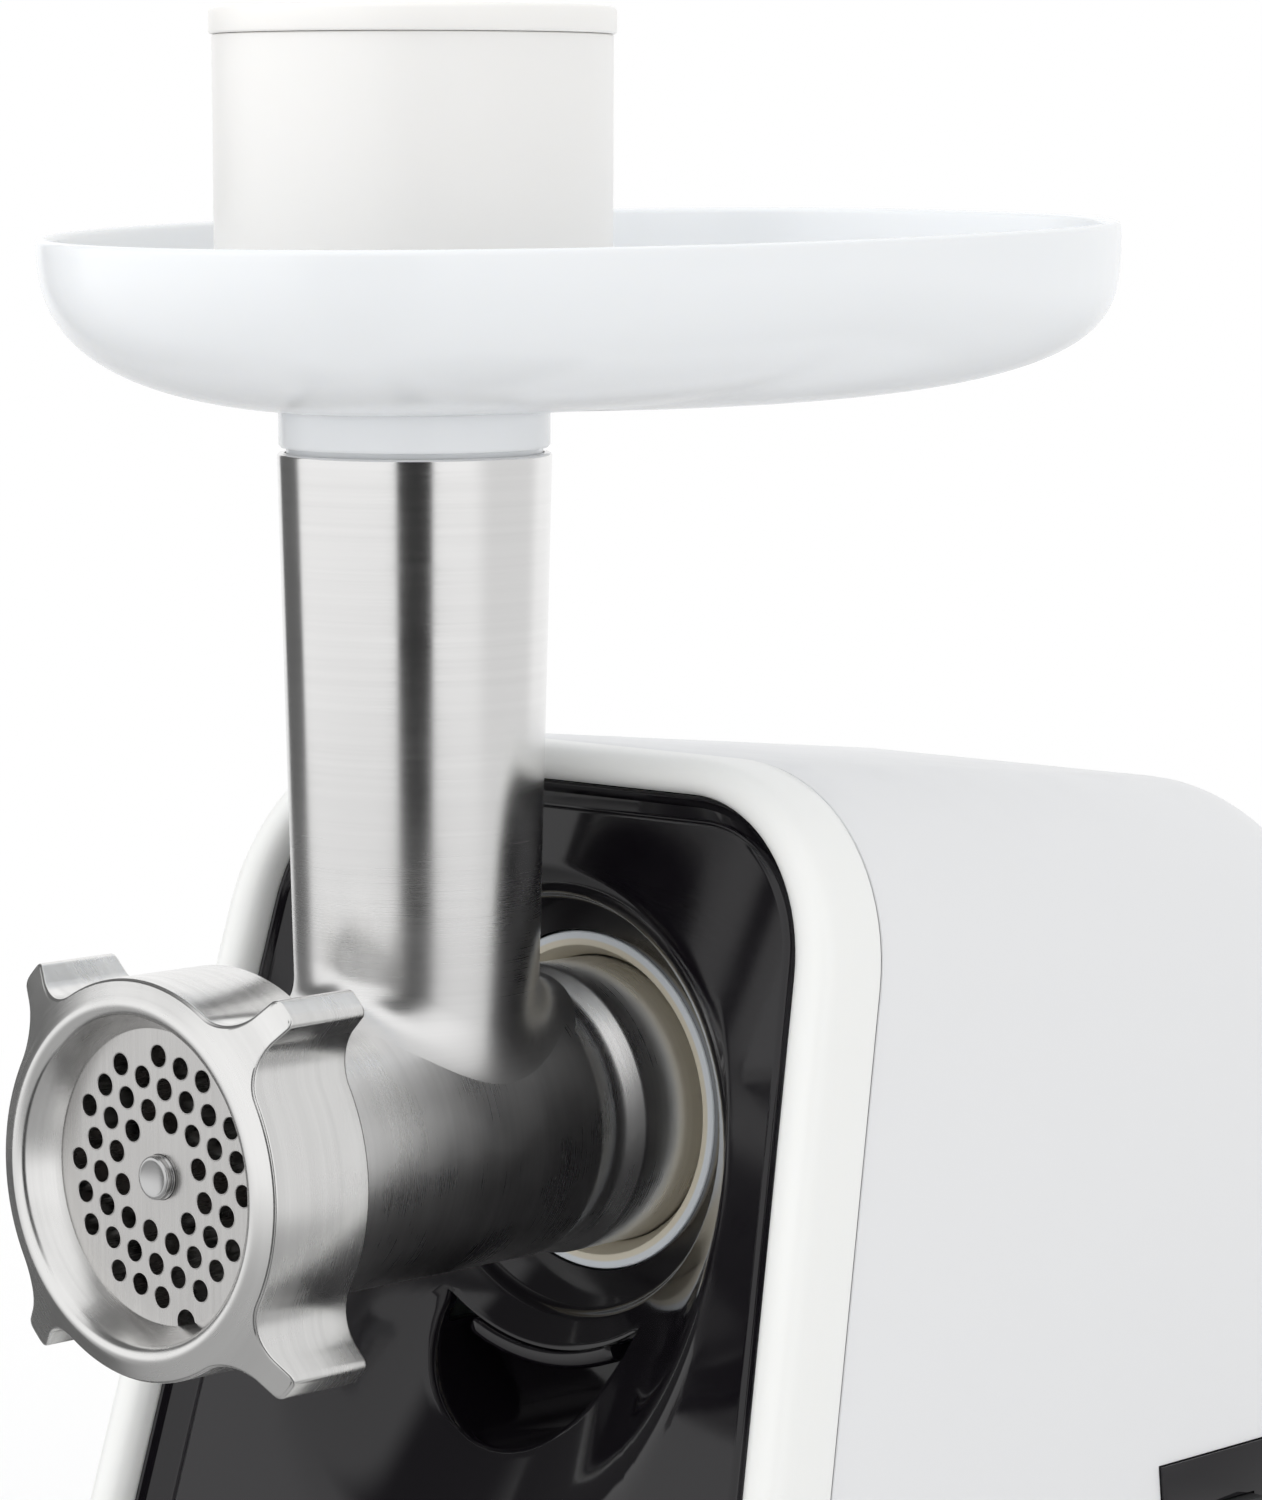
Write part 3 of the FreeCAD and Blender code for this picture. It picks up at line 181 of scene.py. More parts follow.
def metal(name, colour, roughness, fast="Y", line=0.0003, run=0.03, depth=0.0000012,
          stain=0.06, cloudy=0.12, streak=0.9, dull_foot=0.0):
    """Brushed metal: fine lines that change quickly along one axis, under a cloudy polish."""
    n = Nodes(name)
    scale = [line / run] * 3
    scale["XYZ".index(fast)] = 1.0
    brushed = n.stretched(tuple(scale))
    lines = n.noise(line, 3.0, 0.65, brushed)
    streaks = n.noise(line * 7, 3.0, 0.6, brushed)
    clouds = n.noise(0.014, 3.0, 0.5)
    spots = n.spread(n.noise(0.0028, 5.0, 0.65), 0, 1, 0.66, 0.8)
    tone = n.tint(n.sums(n.spread(streaks, 0, 1, 0.3, 0.7), n.spread(spots, 0, stain),
                         "SUBTRACT"), tuple(c * streak for c in colour), colour)
    gloss = n.sums(n.spread(clouds, roughness * (1 - cloudy), roughness * (1 + cloudy), 0.3, 0.7),
                   n.spread(lines, -0.03, 0.03, 0.25, 0.75))
    if dull_foot:
        height = n.add("ShaderNodeSeparateXYZ")
        n.link(n.place, height.inputs[0])
        gloss = n.sums(gloss, n.spread(height.outputs["Z"], dull_foot, 0, AXIS_Z + 20 * MM,
                                       AXIS_Z + 95 * MM))
    n.bump(lines, 1.0, depth)
    return n.finish(tone, gloss, 1.0)


def two_tone(name, inner, outer, split, roughness):
    """A moulded ring whose flat outer band is a different shade from its inner cone."""
    n = Nodes(name)
    parts = n.add("ShaderNodeSeparateXYZ")
    n.link(n.place, parts.inputs[0])
    across = n.sums(parts.outputs["X"], 2.0, "POWER")
    up = n.sums(n.sums(parts.outputs["Z"], AXIS_Z, "SUBTRACT"), 2.0, "POWER")
    reach = n.sums(n.sums(across, up), 0.5, "POWER")
    tone = n.tint(n.spread(reach, 0, 1, split - 0.0002, split + 0.0002), inner, outer)
    n.bump(n.noise(0.0005, 2.0), 0.35, 0.00001)
    return n.finish(tone, n.spread(n.noise(0.012, 5.0), roughness, roughness * 1.25))


FINISHES = {
    "shell_white": plastic("shell_white", (0.80, 0.805, 0.815), 0.34, shade=0.012, scatter=0.1),
    "bezel_white": plastic("bezel_white", (0.88, 0.885, 0.87), 0.3, shade=0.012, scatter=0.1),
    "tray_white": plastic("tray_white", (0.84, 0.86, 0.88), 0.2, 0.0008, 0.000006, 0.015, 0.25),
    "pusher_ivory": plastic("pusher_ivory", (0.89, 0.88, 0.86), 0.36, 0.0006, 0.000008, 0.015,
                            0.2),
    "panel_black": plastic("panel_black", (0.006, 0.005, 0.007), 0.07, 0.0012, 0.0000012, 0.2,
                           0.0, 0.5),
    "control_black": plastic("control_black", (0.014, 0.014, 0.015), 0.42, 0.0004, 0.00002),
    "grille_white": plastic("grille_white", (0.80, 0.80, 0.80), 0.42, shade=0.03),
    "base_grey": plastic("base_grey", (0.30, 0.30, 0.31), 0.55, 0.0005, 0.00003, 0.06),
    "foot_rubber": plastic("foot_rubber", (0.03, 0.03, 0.03), 0.8, 0.0006, 0.00005, 0.25),
    "socket_nylon": two_tone("socket_nylon", (0.80, 0.74, 0.60), (0.80, 0.84, 0.88), 0.0321,
                             0.32),
    "gear_nylon": plastic("gear_nylon", (0.74, 0.71, 0.62), 0.4, 0.0005, 0.00001, 0.05, 0.2),
    "brush_carbon": plastic("brush_carbon", (0.02, 0.02, 0.022), 0.6, 0.0003, 0.00003, 0.3),
    "head_aluminium": metal("head_aluminium", (0.85, 0.845, 0.84), 0.3),
    "ring_aluminium": metal("ring_aluminium", (0.87, 0.865, 0.855), 0.25, cloudy=0.2),
    "plate_steel": metal("plate_steel", (0.66, 0.65, 0.64), 0.27, "X", 0.0002, 0.02),
    "shaft_steel": metal("shaft_steel", (0.58, 0.58, 0.58), 0.22),
    "motor_steel": metal("motor_steel", (0.42, 0.42, 0.43), 0.42, "Y", 0.0005, 0.03, 0.00001),
    "bush_brass": metal("bush_brass", (0.72, 0.55, 0.28), 0.3),
    "winding_copper": metal("winding_copper", (0.72, 0.33, 0.16), 0.35, "Y", 0.0006, 0.01,
                            0.00003),
    "screw_zinc": metal("screw_zinc", (0.66, 0.67, 0.68), 0.3, "Z"),
    "spring_steel": metal("spring_steel", (0.60, 0.60, 0.60), 0.28),
}
tube_metal = metal("tube_aluminium", (0.85, 0.845, 0.84), 0.17, "Z", 0.0002, streak=0.96,
                   dull_foot=0.15)
# The knife's steel gets a near-black colour as painted shade, so the plate's holes look dark where the
# knife shows through them.
knife_shade_metal = metal("knife_steel_shade_dark", (0.07, 0.062, 0.058), 0.5)
slot_of = {entry["node"]: entry["material_slot"] for entry in frame["record"]["subparts"]}
for name, finish in slot_of.items():
    mesh = frame["nodes"][name].data
    mesh.materials.clear()
    mesh.materials.append(FINISHES[finish])


# ---------------------------------------------------------------- mesh helpers

def loft(rings, loop=False, skip=None):
    """Quads between rings of points; a ring of one point closes an end."""
    verts, faces, starts = [], [], []
    for ring in rings:
        starts.append(len(verts))
        verts.extend(tuple(float(c) for c in point) for point in ring)
    count = len(rings)
    for i in range(count if loop else count - 1):
        k = (i + 1) % count
        a, b, sa, sb = len(rings[i]), len(rings[k]), starts[i], starts[k]
        size = max(a, b)
        for j in range(size):
            m = (j + 1) % size
            if skip and skip(i, j):
                continue
            if a == 1:
                faces.append((sa, sb + m, sb + j))
            elif b == 1:
                faces.append((sa + j, sa + m, sb))
            else:
                faces.append((sa + j, sa + m, sb + m, sb + j))
    return verts, faces


def softened(corners, steps=5, loop=True):
    """A path of straight runs whose corners (u, v, radius) are rounded off."""
    points, count = [], len(corners)
    for i, (u, v, radius) in enumerate(corners):
        if not radius or (not loop and i in (0, count - 1)):
            points.append((u, v))
            continue
        corner = Vector((u, v))
        back = (Vector(corners[i - 1][:2]) - corner).normalized()
        ahead = (Vector(corners[(i + 1) % count][:2]) - corner).normalized()
        half = back.angle(ahead) / 2
        centre = corner + (back + ahead).normalized() * (radius / math.sin(half))
        start = corner + back * (radius / math.tan(half)) - centre
        end = corner + ahead * (radius / math.tan(half)) - centre
        turn = start.angle_signed(end)
        for k in range(steps + 1):
            angle = -turn * k / steps
            c, s = math.cos(angle), math.sin(angle)
            points.append((centre.x + start.x * c - start.y * s,
                           centre.y + start.x * s + start.y * c))
    return points


def circle_at(radius, along, axis, count):
    """A ring round the grinding axis ("Y") or round the feed tube ("Z")."""
    if radius < 1e-6:
        return [at(0, along, 0) if axis == "Y" else at(0, TUBE_Y, along)]
    ring = []
    for k in range(count):
        c, s = radius * math.cos(2 * math.pi * k / count), radius * math.sin(
            2 * math.pi * k / count)
        ring.append(at(c, along, s) if axis == "Y" else at(c, TUBE_Y + s, along))
    return ring


def lathe(corners, axis, count=160, steps=5):
    """A turned solid from (radius, along, rounding) corners, from axis to axis or closed."""
    closed = corners[0][0] > 0
    path = softened(corners, steps, closed)
    return loft([circle_at(r, a, axis, count) for r, a in path], loop=closed)


def mesh_of(name, verts, faces, merge=1e-7):
    mesh = bpy.data.meshes.new(name)
    mesh.from_pydata(verts, [], faces)
    made = bmesh.new()
    made.from_mesh(mesh)
    if merge:
        bmesh.ops.remove_doubles(made, verts=made.verts, dist=merge)
    bmesh.ops.recalc_face_normals(made, faces=made.faces)
    made.to_mesh(mesh)
    made.free()
    return mesh


def object_of(name, mesh):
    obj = bpy.data.objects.new(name, mesh)
    bpy.context.scene.collection.objects.link(obj)
    return obj


def baked(obj):
    """The object's mesh with its modifiers applied, and the modifiers removed."""
    bpy.context.view_layer.update()
    evaluated = obj.evaluated_get(bpy.context.evaluated_depsgraph_get())
    mesh = bpy.data.meshes.new_from_object(evaluated)
    obj.modifiers.clear()
    old = obj.data
    obj.data = mesh
    bpy.data.meshes.remove(old)
    return obj


def cut_out(obj, *tools):
    """Take tools, each (verts, faces), out of obj."""
    for index, (verts, faces) in enumerate(tools):
        tool = object_of("tool", mesh_of("tool", verts, faces))
        cutter = obj.modifiers.new("cut", "BOOLEAN")
        cutter.object = tool
        cutter.solver = "EXACT"
        baked(obj)
        bpy.data.objects.remove(tool)
    return obj


def settle(obj, finish, body, replaced=(), sharp=32):
    """Give a finished piece its material, its smooth shading and its place in the frame."""
    mesh = obj.data
    mesh.materials.clear()
    mesh.materials.append(FINISHES[finish])
    mesh.polygons.foreach_set("material_index", [0] * len(mesh.polygons))
    mesh.polygons.foreach_set("use_smooth", [True] * len(mesh.polygons))
    mesh.set_sharp_from_angle(angle=math.radians(sharp))
    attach(obj, body)
    if replaced:
        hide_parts(*replaced)
    return obj


def piece(name, shape, finish, body, replaced=(), sharp=32):
    return settle(object_of(name, mesh_of(name, *shape)), finish, body, replaced, sharp)


def brick(low, high):
    """A block between two corners in the frame, for cutting."""
    (x0, y0, z0), (x1, y1, z1) = low, high
    verts = [(x, y, z) for x in (x0, x1) for y in (y0, y1) for z in (z0, z1)]
    faces = [(0, 1, 3, 2), (4, 6, 7, 5), (0, 4, 5, 1), (2, 3, 7, 6), (0, 2, 6, 4), (1, 5, 7, 3)]
    return verts, faces


# ---------------------------------------------------------------- pusher and lid

piece("pusher_cup", lathe((
    (0, 29, 0), (20.3, 29, 2.0), (20.3, 143.2, 0.8), (37.4, 143.2, 1.2), (37.7, 208.2, 0.4),
    (35.9, 208.2, 0.4), (35.6, 145, 1.5), (18.5, 145, 0.8), (18.5, 30.8, 2.0), (0, 30.8, 0)),
    "Z"), "pusher_ivory", "pusher", ["pusher"])
piece("pusher_cap", lathe((
    (0, 208.3, 0), (33.3, 208.3, 0), (33.3, 203.2, 0.3), (35.3, 203.2, 0.3), (35.3, 208.3, 0),
    (38.3, 208.3, 0.5), (38.3, 213.4, 1.1), (35.6, 213.4, 0.7), (34.9, 212.9, 0.7),
    (0, 212.9, 0)), "Z"), "pusher_ivory", "pusher_lid", ["pusher_lid"])

# ---------------------------------------------------------------- tray

TRAY_HALF_WIDTH, TRAY_HALF_LENGTH, TRAY_CENTRE = 78, 122, 45.85
TRAY_DEPTH, TRAY_FOOT, TRAY_WALL, TRAY_LIP = 34.5, 137.3, 2.4, 1.2
TRAY_ROUND, BACK_ROUND, BACK_CORNER, BACK_BLEND = 2.6, 1.4, 0.5, 1.6
TRAY_TILT, LOW_SIDE = math.radians(1.4), (0.688, -0.725)
TRAY_POINTS, TRAY_STEPS = 256, 46
COLLAR_BORE, COLLAR_FOOT = 22.4, 118.5


def fullness(turn):
    """How fully a turn lies in the tray's back half: 0 in front and 1 well behind."""
    t = min(max(math.sin(turn) * BACK_BLEND, 0), 1)
    return t * t * (3 - 2 * t)


def tray_point(turn, share, rise, inset):
    """A point of the bowl: its back half is fuller than its elliptical front half."""
    c, s = math.cos(turn), math.sin(turn)
    power = 2 / (2 + BACK_CORNER * share * fullness(turn))
    c, s = math.copysign(abs(c) ** power, c), math.copysign(abs(s) ** power, s)
    x = (TRAY_HALF_WIDTH * share - inset) * c
    y = TRAY_CENTRE * share + (TRAY_HALF_LENGTH * share - inset) * s
    lean = (x * LOW_SIDE[0] + (y - TRAY_CENTRE * share) * LOW_SIDE[1]) * math.tan(TRAY_TILT)
    return at(x, TUBE_Y + y, TRAY_FOOT + rise - lean * share)


def tray_turns():
    return [2 * math.pi * j / TRAY_POINTS for j in range(TRAY_POINTS)]


def tray_ring(t, wall):
    """A loop of the bowl, on its outside, or wall further in for its inside."""
    ring = []
    for turn in tray_turns():
        power = 2 / (TRAY_ROUND + BACK_ROUND * fullness(turn))
        share = math.sin(t) ** power
        rise = TRAY_DEPTH * (1 - max(math.cos(t), 0) ** power)
        rise = min(rise * (1 - wall / TRAY_DEPTH) + wall, TRAY_DEPTH - TRAY_LIP)
        ring.append(tray_point(turn, share, rise, wall * share))
    return ring


def tray_rings(wall, low_share):
    turns = [math.pi / 2 * k / TRAY_STEPS for k in range(TRAY_STEPS + 1)]
    return [tray_ring(t, wall) for t in turns if math.sin(t) ** (2 / TRAY_ROUND) >= low_share]


lip = []
for k in range(9):
    angle = math.pi * k / 8
    lip.append([tray_point(turn, 1, TRAY_DEPTH - TRAY_LIP + TRAY_LIP * math.sin(angle),
                           TRAY_LIP - TRAY_LIP * math.cos(angle)) for turn in tray_turns()])
collar = [(COLLAR_BORE, COLLAR_FOOT), (24.1, 118.2), (24.3, 118.6), (24.3, 130.9), (25.2, 131.0),
          (25.7, 131.6), (25.7, 137.6), (25.9, 138.2)]
bore = [(COLLAR_BORE, TRAY_FOOT + TRAY_WALL), (COLLAR_BORE, COLLAR_FOOT)]
outer, inner = tray_rings(0, 0.33), tray_rings(TRAY_WALL, 0.30)
piece("tray_bowl", loft(
    [circle_at(r, h, "Z", TRAY_POINTS) for r, h in collar] + outer + lip + inner[::-1] +
    [circle_at(r, h, "Z", TRAY_POINTS) for r, h in bore]), "tray_white", "tray", ["tray"], 40)

# ---------------------------------------------------------------- grinding head

BARREL, THREAD, PLATE_SEAT, CHAMBER = 27.6, 33.7, 31.3, 28.6
BORE, JOURNAL, SPIGOT_BORE, SPIGOT_BACK = 24.4, 8.05, 20, 11
REAR_WALL_FRONT, REAR_WALL_BACK, TUBE_BORE = -14, -6, 20.2
barrel = object_of("head_barrel", mesh_of("head_barrel", *lathe((
    (PLATE_SEAT, HEAD_FRONT, 0.2), (THREAD, HEAD_FRONT, 0.4), (THREAD, THREAD_BACK, 0.6),
    (BARREL, -92, 2.2), (BARREL, -25, 8), (26.0, -18.2, 4.5), (28.5, -13.2, 2.2),
    (28.3, SPIGOT_BACK, 0.6), (SPIGOT_BORE, SPIGOT_BACK, 0.4), (SPIGOT_BORE, REAR_WALL_BACK, 0.6),
    (JOURNAL, REAR_WALL_BACK, 0), (JOURNAL, REAR_WALL_FRONT, 0), (BORE, REAR_WALL_FRONT, 0.4),
    (BORE, CHAMBER_BACK, 0), (CHAMBER, CHAMBER_BACK, 0.2), (CHAMBER, PLATE_BACK, 0.2),
    (PLATE_SEAT, PLATE_BACK, 0.2)), "Y", 256, 6)))
cut_out(barrel, loft([[at(0, TUBE_Y, 0)], circle_at(TUBE_BORE, 0, "Z", 128),
                      circle_at(TUBE_BORE, 40, "Z", 128), [at(0, TUBE_Y, 40)]]))
TUBE_TOP, TUBE_TOP_RADIUS, TUBE_FOOT_RADIUS = 130.0, 26.0, 22.6
TUBE_WALL, TUBE_MOUTH, MOUTH_FOOT, TUBE_FILLET = 2.4, 24.6, TUBE_TOP - 14, 8.0
TUBE_POINTS, REACH_STEP = 192, 0.1


def tube_radius(h):
    return TUBE_FOOT_RADIUS + (TUBE_TOP_RADIUS - TUBE_FOOT_RADIUS) * h / TUBE_TOP


def tube_side(turn):
    """The tube's outer wall at one turn, from its rim down and out along the barrel."""
    lean = abs(math.cos(turn))

    def barrel_height(radius):
        return math.sqrt(max(BARREL ** 2 - (radius * lean) ** 2, 0))

    height = barrel_height(tube_radius(22))
    radius = tube_radius(height)
    height = barrel_height(radius)
    corner = Vector((radius, height))
    reach, point = 0.0, corner.copy()
    while reach < TUBE_FILLET:
        nudged = Vector((point.x + 0.01, barrel_height(point.x + 0.01)))
        step = (nudged - point).normalized() * REACH_STEP
        point = Vector((point.x + step.x, barrel_height(point.x + step.x)))
        reach += REACH_STEP
    start = Vector((tube_radius(height + TUBE_FILLET), height + TUBE_FILLET))
    curve = []
    for k in range(11):
        t = k / 10
        curve.append(start * (1 - t) ** 2 + corner * 2 * t * (1 - t) + point * t * t)
    inward = Vector((point.x * lean ** 2, point.y)).normalized()
    under = point - inward * 0.8
    wall = []
    top = TUBE_TOP
    for radius, h in softened(((tube_radius(top) - 1.4, top, 0), (tube_radius(top), top, 0.6),
                               (tube_radius(top - 4), top - 4, 0)), 4, False):
        wall.append(Vector((radius, h)))
    for k in range(1, 24):
        t = k / 24
        h = (top - 4) * (1 - t) + start.y * t
        wall.append(Vector((tube_radius(h), h)))
    wall += curve + [under, Vector((radius - 2.6, min(height, under.y) - 1.0))]
    for h in (30, 60, MOUTH_FOOT):
        wall.append(Vector((tube_radius(h) - TUBE_WALL, h)))
    wall += [Vector((TUBE_MOUTH, MOUTH_FOOT)), Vector((TUBE_MOUTH, TUBE_TOP))]
    return wall


turns = [2 * math.pi * j / TUBE_POINTS for j in range(TUBE_POINTS)]
sides = [tube_side(turn) for turn in turns]
tube_rings = []
for k in range(len(sides[0])):
    tube_rings.append([at(side[k].x * math.cos(turn), TUBE_Y + side[k].x * math.sin(turn),
                          side[k].y) for turn, side in zip(turns, sides)])
settle(barrel, "head_aluminium", "head", ["head_casting"])
KEY_CENTRE, KEY_RADIUS, KEY_BACK = 29.8, 2.1, -107
key_x, key_h = KEY_CENTRE * math.cos(NOTCH_TURN), KEY_CENTRE * math.sin(NOTCH_TURN)
key_rings = []
for radius, y in softened(((0, HEAD_FRONT, 0), (KEY_RADIUS, HEAD_FRONT, 0.3),
                           (KEY_RADIUS, KEY_BACK, 0), (0, KEY_BACK, 0)), 3, False):
    key_rings.append([at(key_x + radius * math.cos(math.pi * k / 20), y,
                         key_h + radius * math.sin(math.pi * k / 20))
                      for k in range(40 if radius else 1)])
piece("plate_key", loft(key_rings), "head_aluminium", "head")
tube = piece("head_tube", loft(tube_rings, loop=True), "head_aluminium", "head", (), 40)
tube.data.materials[0] = tube_metal

# ---------------------------------------------------------------- ring nut

RING_FRONT, RING_BACK, RING_RADIUS, LOBE_REACH = -120.3, -95.3, 37.2, 49.0
LOBE_HALF, LOBE_BLEND, LOBE_CORNER = 3.2, 9.0, 1.6
LIP_CREST, RING_SLOPE, RIM = 32.8, 6.8, 0.55


def lobe_outline():
    """Points and outward normals round the ring nut, one quarter at a time."""
    offset = LOBE_HALF + LOBE_BLEND
    centre = math.sqrt((RING_RADIUS + LOBE_BLEND) ** 2 - offset ** 2)
    root = math.asin(offset / (RING_RADIUS + LOBE_BLEND))
    half = []
    tip_side = LOBE_HALF - LOBE_CORNER
    for k in range(4):
        x = tip_side * k / 4
        half.append((math.sqrt(LOBE_REACH ** 2 - x ** 2), x, 1.0, 0.0))
    for k in range(7):
        angle = math.pi / 2 * k / 6
        half.append((LOBE_REACH - LOBE_CORNER - 0.05 + LOBE_CORNER * math.cos(angle),
                     tip_side + LOBE_CORNER * math.sin(angle), math.cos(angle),
                     math.sin(angle)))
    for k in range(1, 16):
        angle = (math.pi / 2 - root) * k / 15
        half.append((centre - LOBE_BLEND * math.sin(angle), offset - LOBE_BLEND * math.cos(angle),
                     math.sin(angle), math.cos(angle)))
    for k in range(1, 13):
        angle = root + (math.pi / 4 - root) * k / 12
        half.append((RING_RADIUS * math.cos(angle), RING_RADIUS * math.sin(angle),
                     math.cos(angle), math.sin(angle)))
    other = [(u, -v, nu, -nv) for u, v, nu, nv in half[1:-1]][::-1]
    outline = []
    for turn in (45, 135, 225, 315):
        c, s = math.cos(math.radians(turn)), math.sin(math.radians(turn))
        for u, v, nu, nv in other + half:
            outline.append(((u * c - v * s, u * s + v * c), (nu * c - nv * s, nu * s + nv * c)))
    return outline


rim = lobe_outline()
rim_angles = [math.atan2(p[1], p[0]) for p, n in rim]


def ring_circle(radius, y):
    return [at(radius * math.cos(a), y, radius * math.sin(a)) for a in rim_angles]


def ring_face(radius):
    return RING_FRONT + RING_SLOPE * max(radius - LIP_CREST, 0) / (LOBE_REACH - LIP_CREST)


def ring_rim(inset, depth=None, back=0.0):
    """The lobed outline drawn in by inset; depth is behind the front face there."""
    ring = []
    for (x, h), (nx, nh) in rim:
        px, ph = x - nx * inset, h - nh * inset
        y = RING_BACK - back if depth is None else ring_face(math.hypot(x, h)) + depth
        ring.append(at(px, y, ph))
    return ring


def ring_between(share):
    """A loop on the front face, part of the way from the lip's crest to the outline."""
    ring = []
    for (x, h), (nx, nh) in rim:
        px, ph = x - nx * RIM, h - nh * RIM
        reach = math.hypot(px, ph)
        radius = LIP_CREST + (reach - LIP_CREST) * share
        ring.append(at(px * radius / reach, ring_face(radius), ph * radius / reach))
    return ring


LIP_CORNER = (31.4, -120.9, 2.5)
lip_path = softened(((34, -112.6, 0), (27.2, -112.6, 0.3), LIP_CORNER,
                     (LIP_CREST + 1.4, ring_face(LIP_CREST + 1.4), 0)), 10, False)
rings = [ring_circle(r, y) for r, y in lip_path]
rings += [ring_between(share) for share in (0.5, 0.65, 0.8, 0.9, 1.0)]
for k in range(1, 6):
    a = math.pi / 2 * k / 5
    rings.append(ring_rim(RIM * (1 - math.sin(a)), RIM * (1 - math.cos(a))))
for k in range(6):
    a = math.pi / 2 * k / 5
    rings.append(ring_rim(RIM * (1 - math.cos(a)), None, RIM * (1 - math.sin(a))))
rings.append(ring_circle(34, RING_BACK))
piece("ring_nut_body", loft(rings, loop=True), "ring_aluminium", "ring_nut", ["ring_nut"], 30)

# ---------------------------------------------------------------- cutting plate

HOLE_RADIUS, HOLE_PITCH, PIN_HOLE = 2.1, 6.2, 4.3
NOTCH_RADIUS, NOTCH_CENTRE = 2.4, 26.9
FIRST_RING, LAST_RING = 2, 4


def turned_by(turn, x, h):
    return x * math.cos(turn) - h * math.sin(turn), x * math.sin(turn) + h * math.cos(turn)


def hole_places():
    """The plate's holes on a triangular lattice, without its middle and its six corners."""
    places = []
    for across in range(-LAST_RING, LAST_RING + 1):
        for up in range(-LAST_RING, LAST_RING + 1):
            ring = max(abs(across), abs(up), abs(across + up))
            corner = ring == LAST_RING and 0 in (across, up, across + up)
            if ring < FIRST_RING or ring > LAST_RING or corner:
                continue
            east, north = across + up / 2, up * math.sqrt(3) / 2
            places.append(turned_by(LATTICE_TURN, HOLE_PITCH * east, HOLE_PITCH * north))
    return places


def flat_loop(curve, points):
    line = curve.splines.new("POLY")
    line.points.add(len(points) - 1)
    for point, (x, h) in zip(line.points, points):
        point.co = (x * MM, h * MM, 0, 1)
    line.use_cyclic_u = True


def ring_points(radius, count, x=0.0, h=0.0):
    return [(x + radius * math.cos(2 * math.pi * k / count),
             h + radius * math.sin(2 * math.pi * k / count)) for k in range(count)]


holes = hole_places()
disc = bpy.data.curves.new("disc", "CURVE")
disc.dimensions = "2D"
disc.fill_mode = "BOTH"
disc.extrude = (PLATE_BACK - PLATE_FRONT) / 2 * MM
open_half = math.asin(NOTCH_RADIUS / PLATE_RADIUS)
edge = []
for k in range(192):
    angle = open_half + (2 * math.pi - 2 * open_half) * k / 191
    edge.append((PLATE_RADIUS * math.cos(angle), PLATE_RADIUS * math.sin(angle)))
for k in range(13):
    angle = -math.pi / 2 - math.pi * k / 12
    edge.append((NOTCH_CENTRE + NOTCH_RADIUS * math.cos(angle), NOTCH_RADIUS * math.sin(angle)))
flat_loop(disc, [turned_by(NOTCH_TURN, x, h) for x, h in edge])
flat_loop(disc, ring_points(PIN_HOLE, 48))
for x, h in holes:
    flat_loop(disc, ring_points(HOLE_RADIUS, 32, x, h))
disc_object = bpy.data.objects.new("disc", disc)
bpy.context.scene.collection.objects.link(disc_object)
bpy.context.view_layer.update()
plate_mesh = bpy.data.meshes.new_from_object(
    disc_object.evaluated_get(bpy.context.evaluated_depsgraph_get()))
bpy.data.objects.remove(disc_object)
middle = (PLATE_FRONT + PLATE_BACK) / 2
verts = [at(v.co.x / MM, middle + v.co.z / MM, v.co.y / MM) for v in plate_mesh.vertices]
faces = [tuple(p.vertices) for p in plate_mesh.polygons]
piece("plate_disc", (verts, faces), "plate_steel", "cutting_plate", ["cutting_plate"], 30)


PIN_RADIUS, SQUARE_HALF, PIN_BACK, PIN_POINTS = 4.2, 4, -99.3, 64


def square_ring(half, y):
    """A square with softened corners, as many points as the pin's circles."""
    ring = []
    for k in range(PIN_POINTS):
        c, s = math.cos(2 * math.pi * k / PIN_POINTS), math.sin(2 * math.pi * k / PIN_POINTS)
        reach = min(half / max(abs(c), abs(s)), half * 1.36)
        ring.append(at(reach * c, y, reach * s))
    return ring


pin_path = softened(((0, -114.55, 0), (2.9, -114.6, 0), (3.3, -114.8, 0.4), (4.0, -114.7, 0.5),
                     (4.15, -113.6, 0.2), (3.9, -113.4, 0.1), (PIN_RADIUS, -113.1, 0.2),
                     (PIN_RADIUS, PLATE_BACK, 0)), 3, False)
pin_rings = [circle_at(r, y, "Y", PIN_POINTS) for r, y in pin_path]
pin_rings += [square_ring(SQUARE_HALF, PLATE_BACK), square_ring(SQUARE_HALF, PIN_BACK),
              [at(0, PIN_BACK, 0)]]
piece("pin_stud", loft(pin_rings), "shaft_steel", frame["nodes"]["auger_pin"]["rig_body"],
      ["auger_pin"], 30)

# ---------------------------------------------------------------- repeated pieces

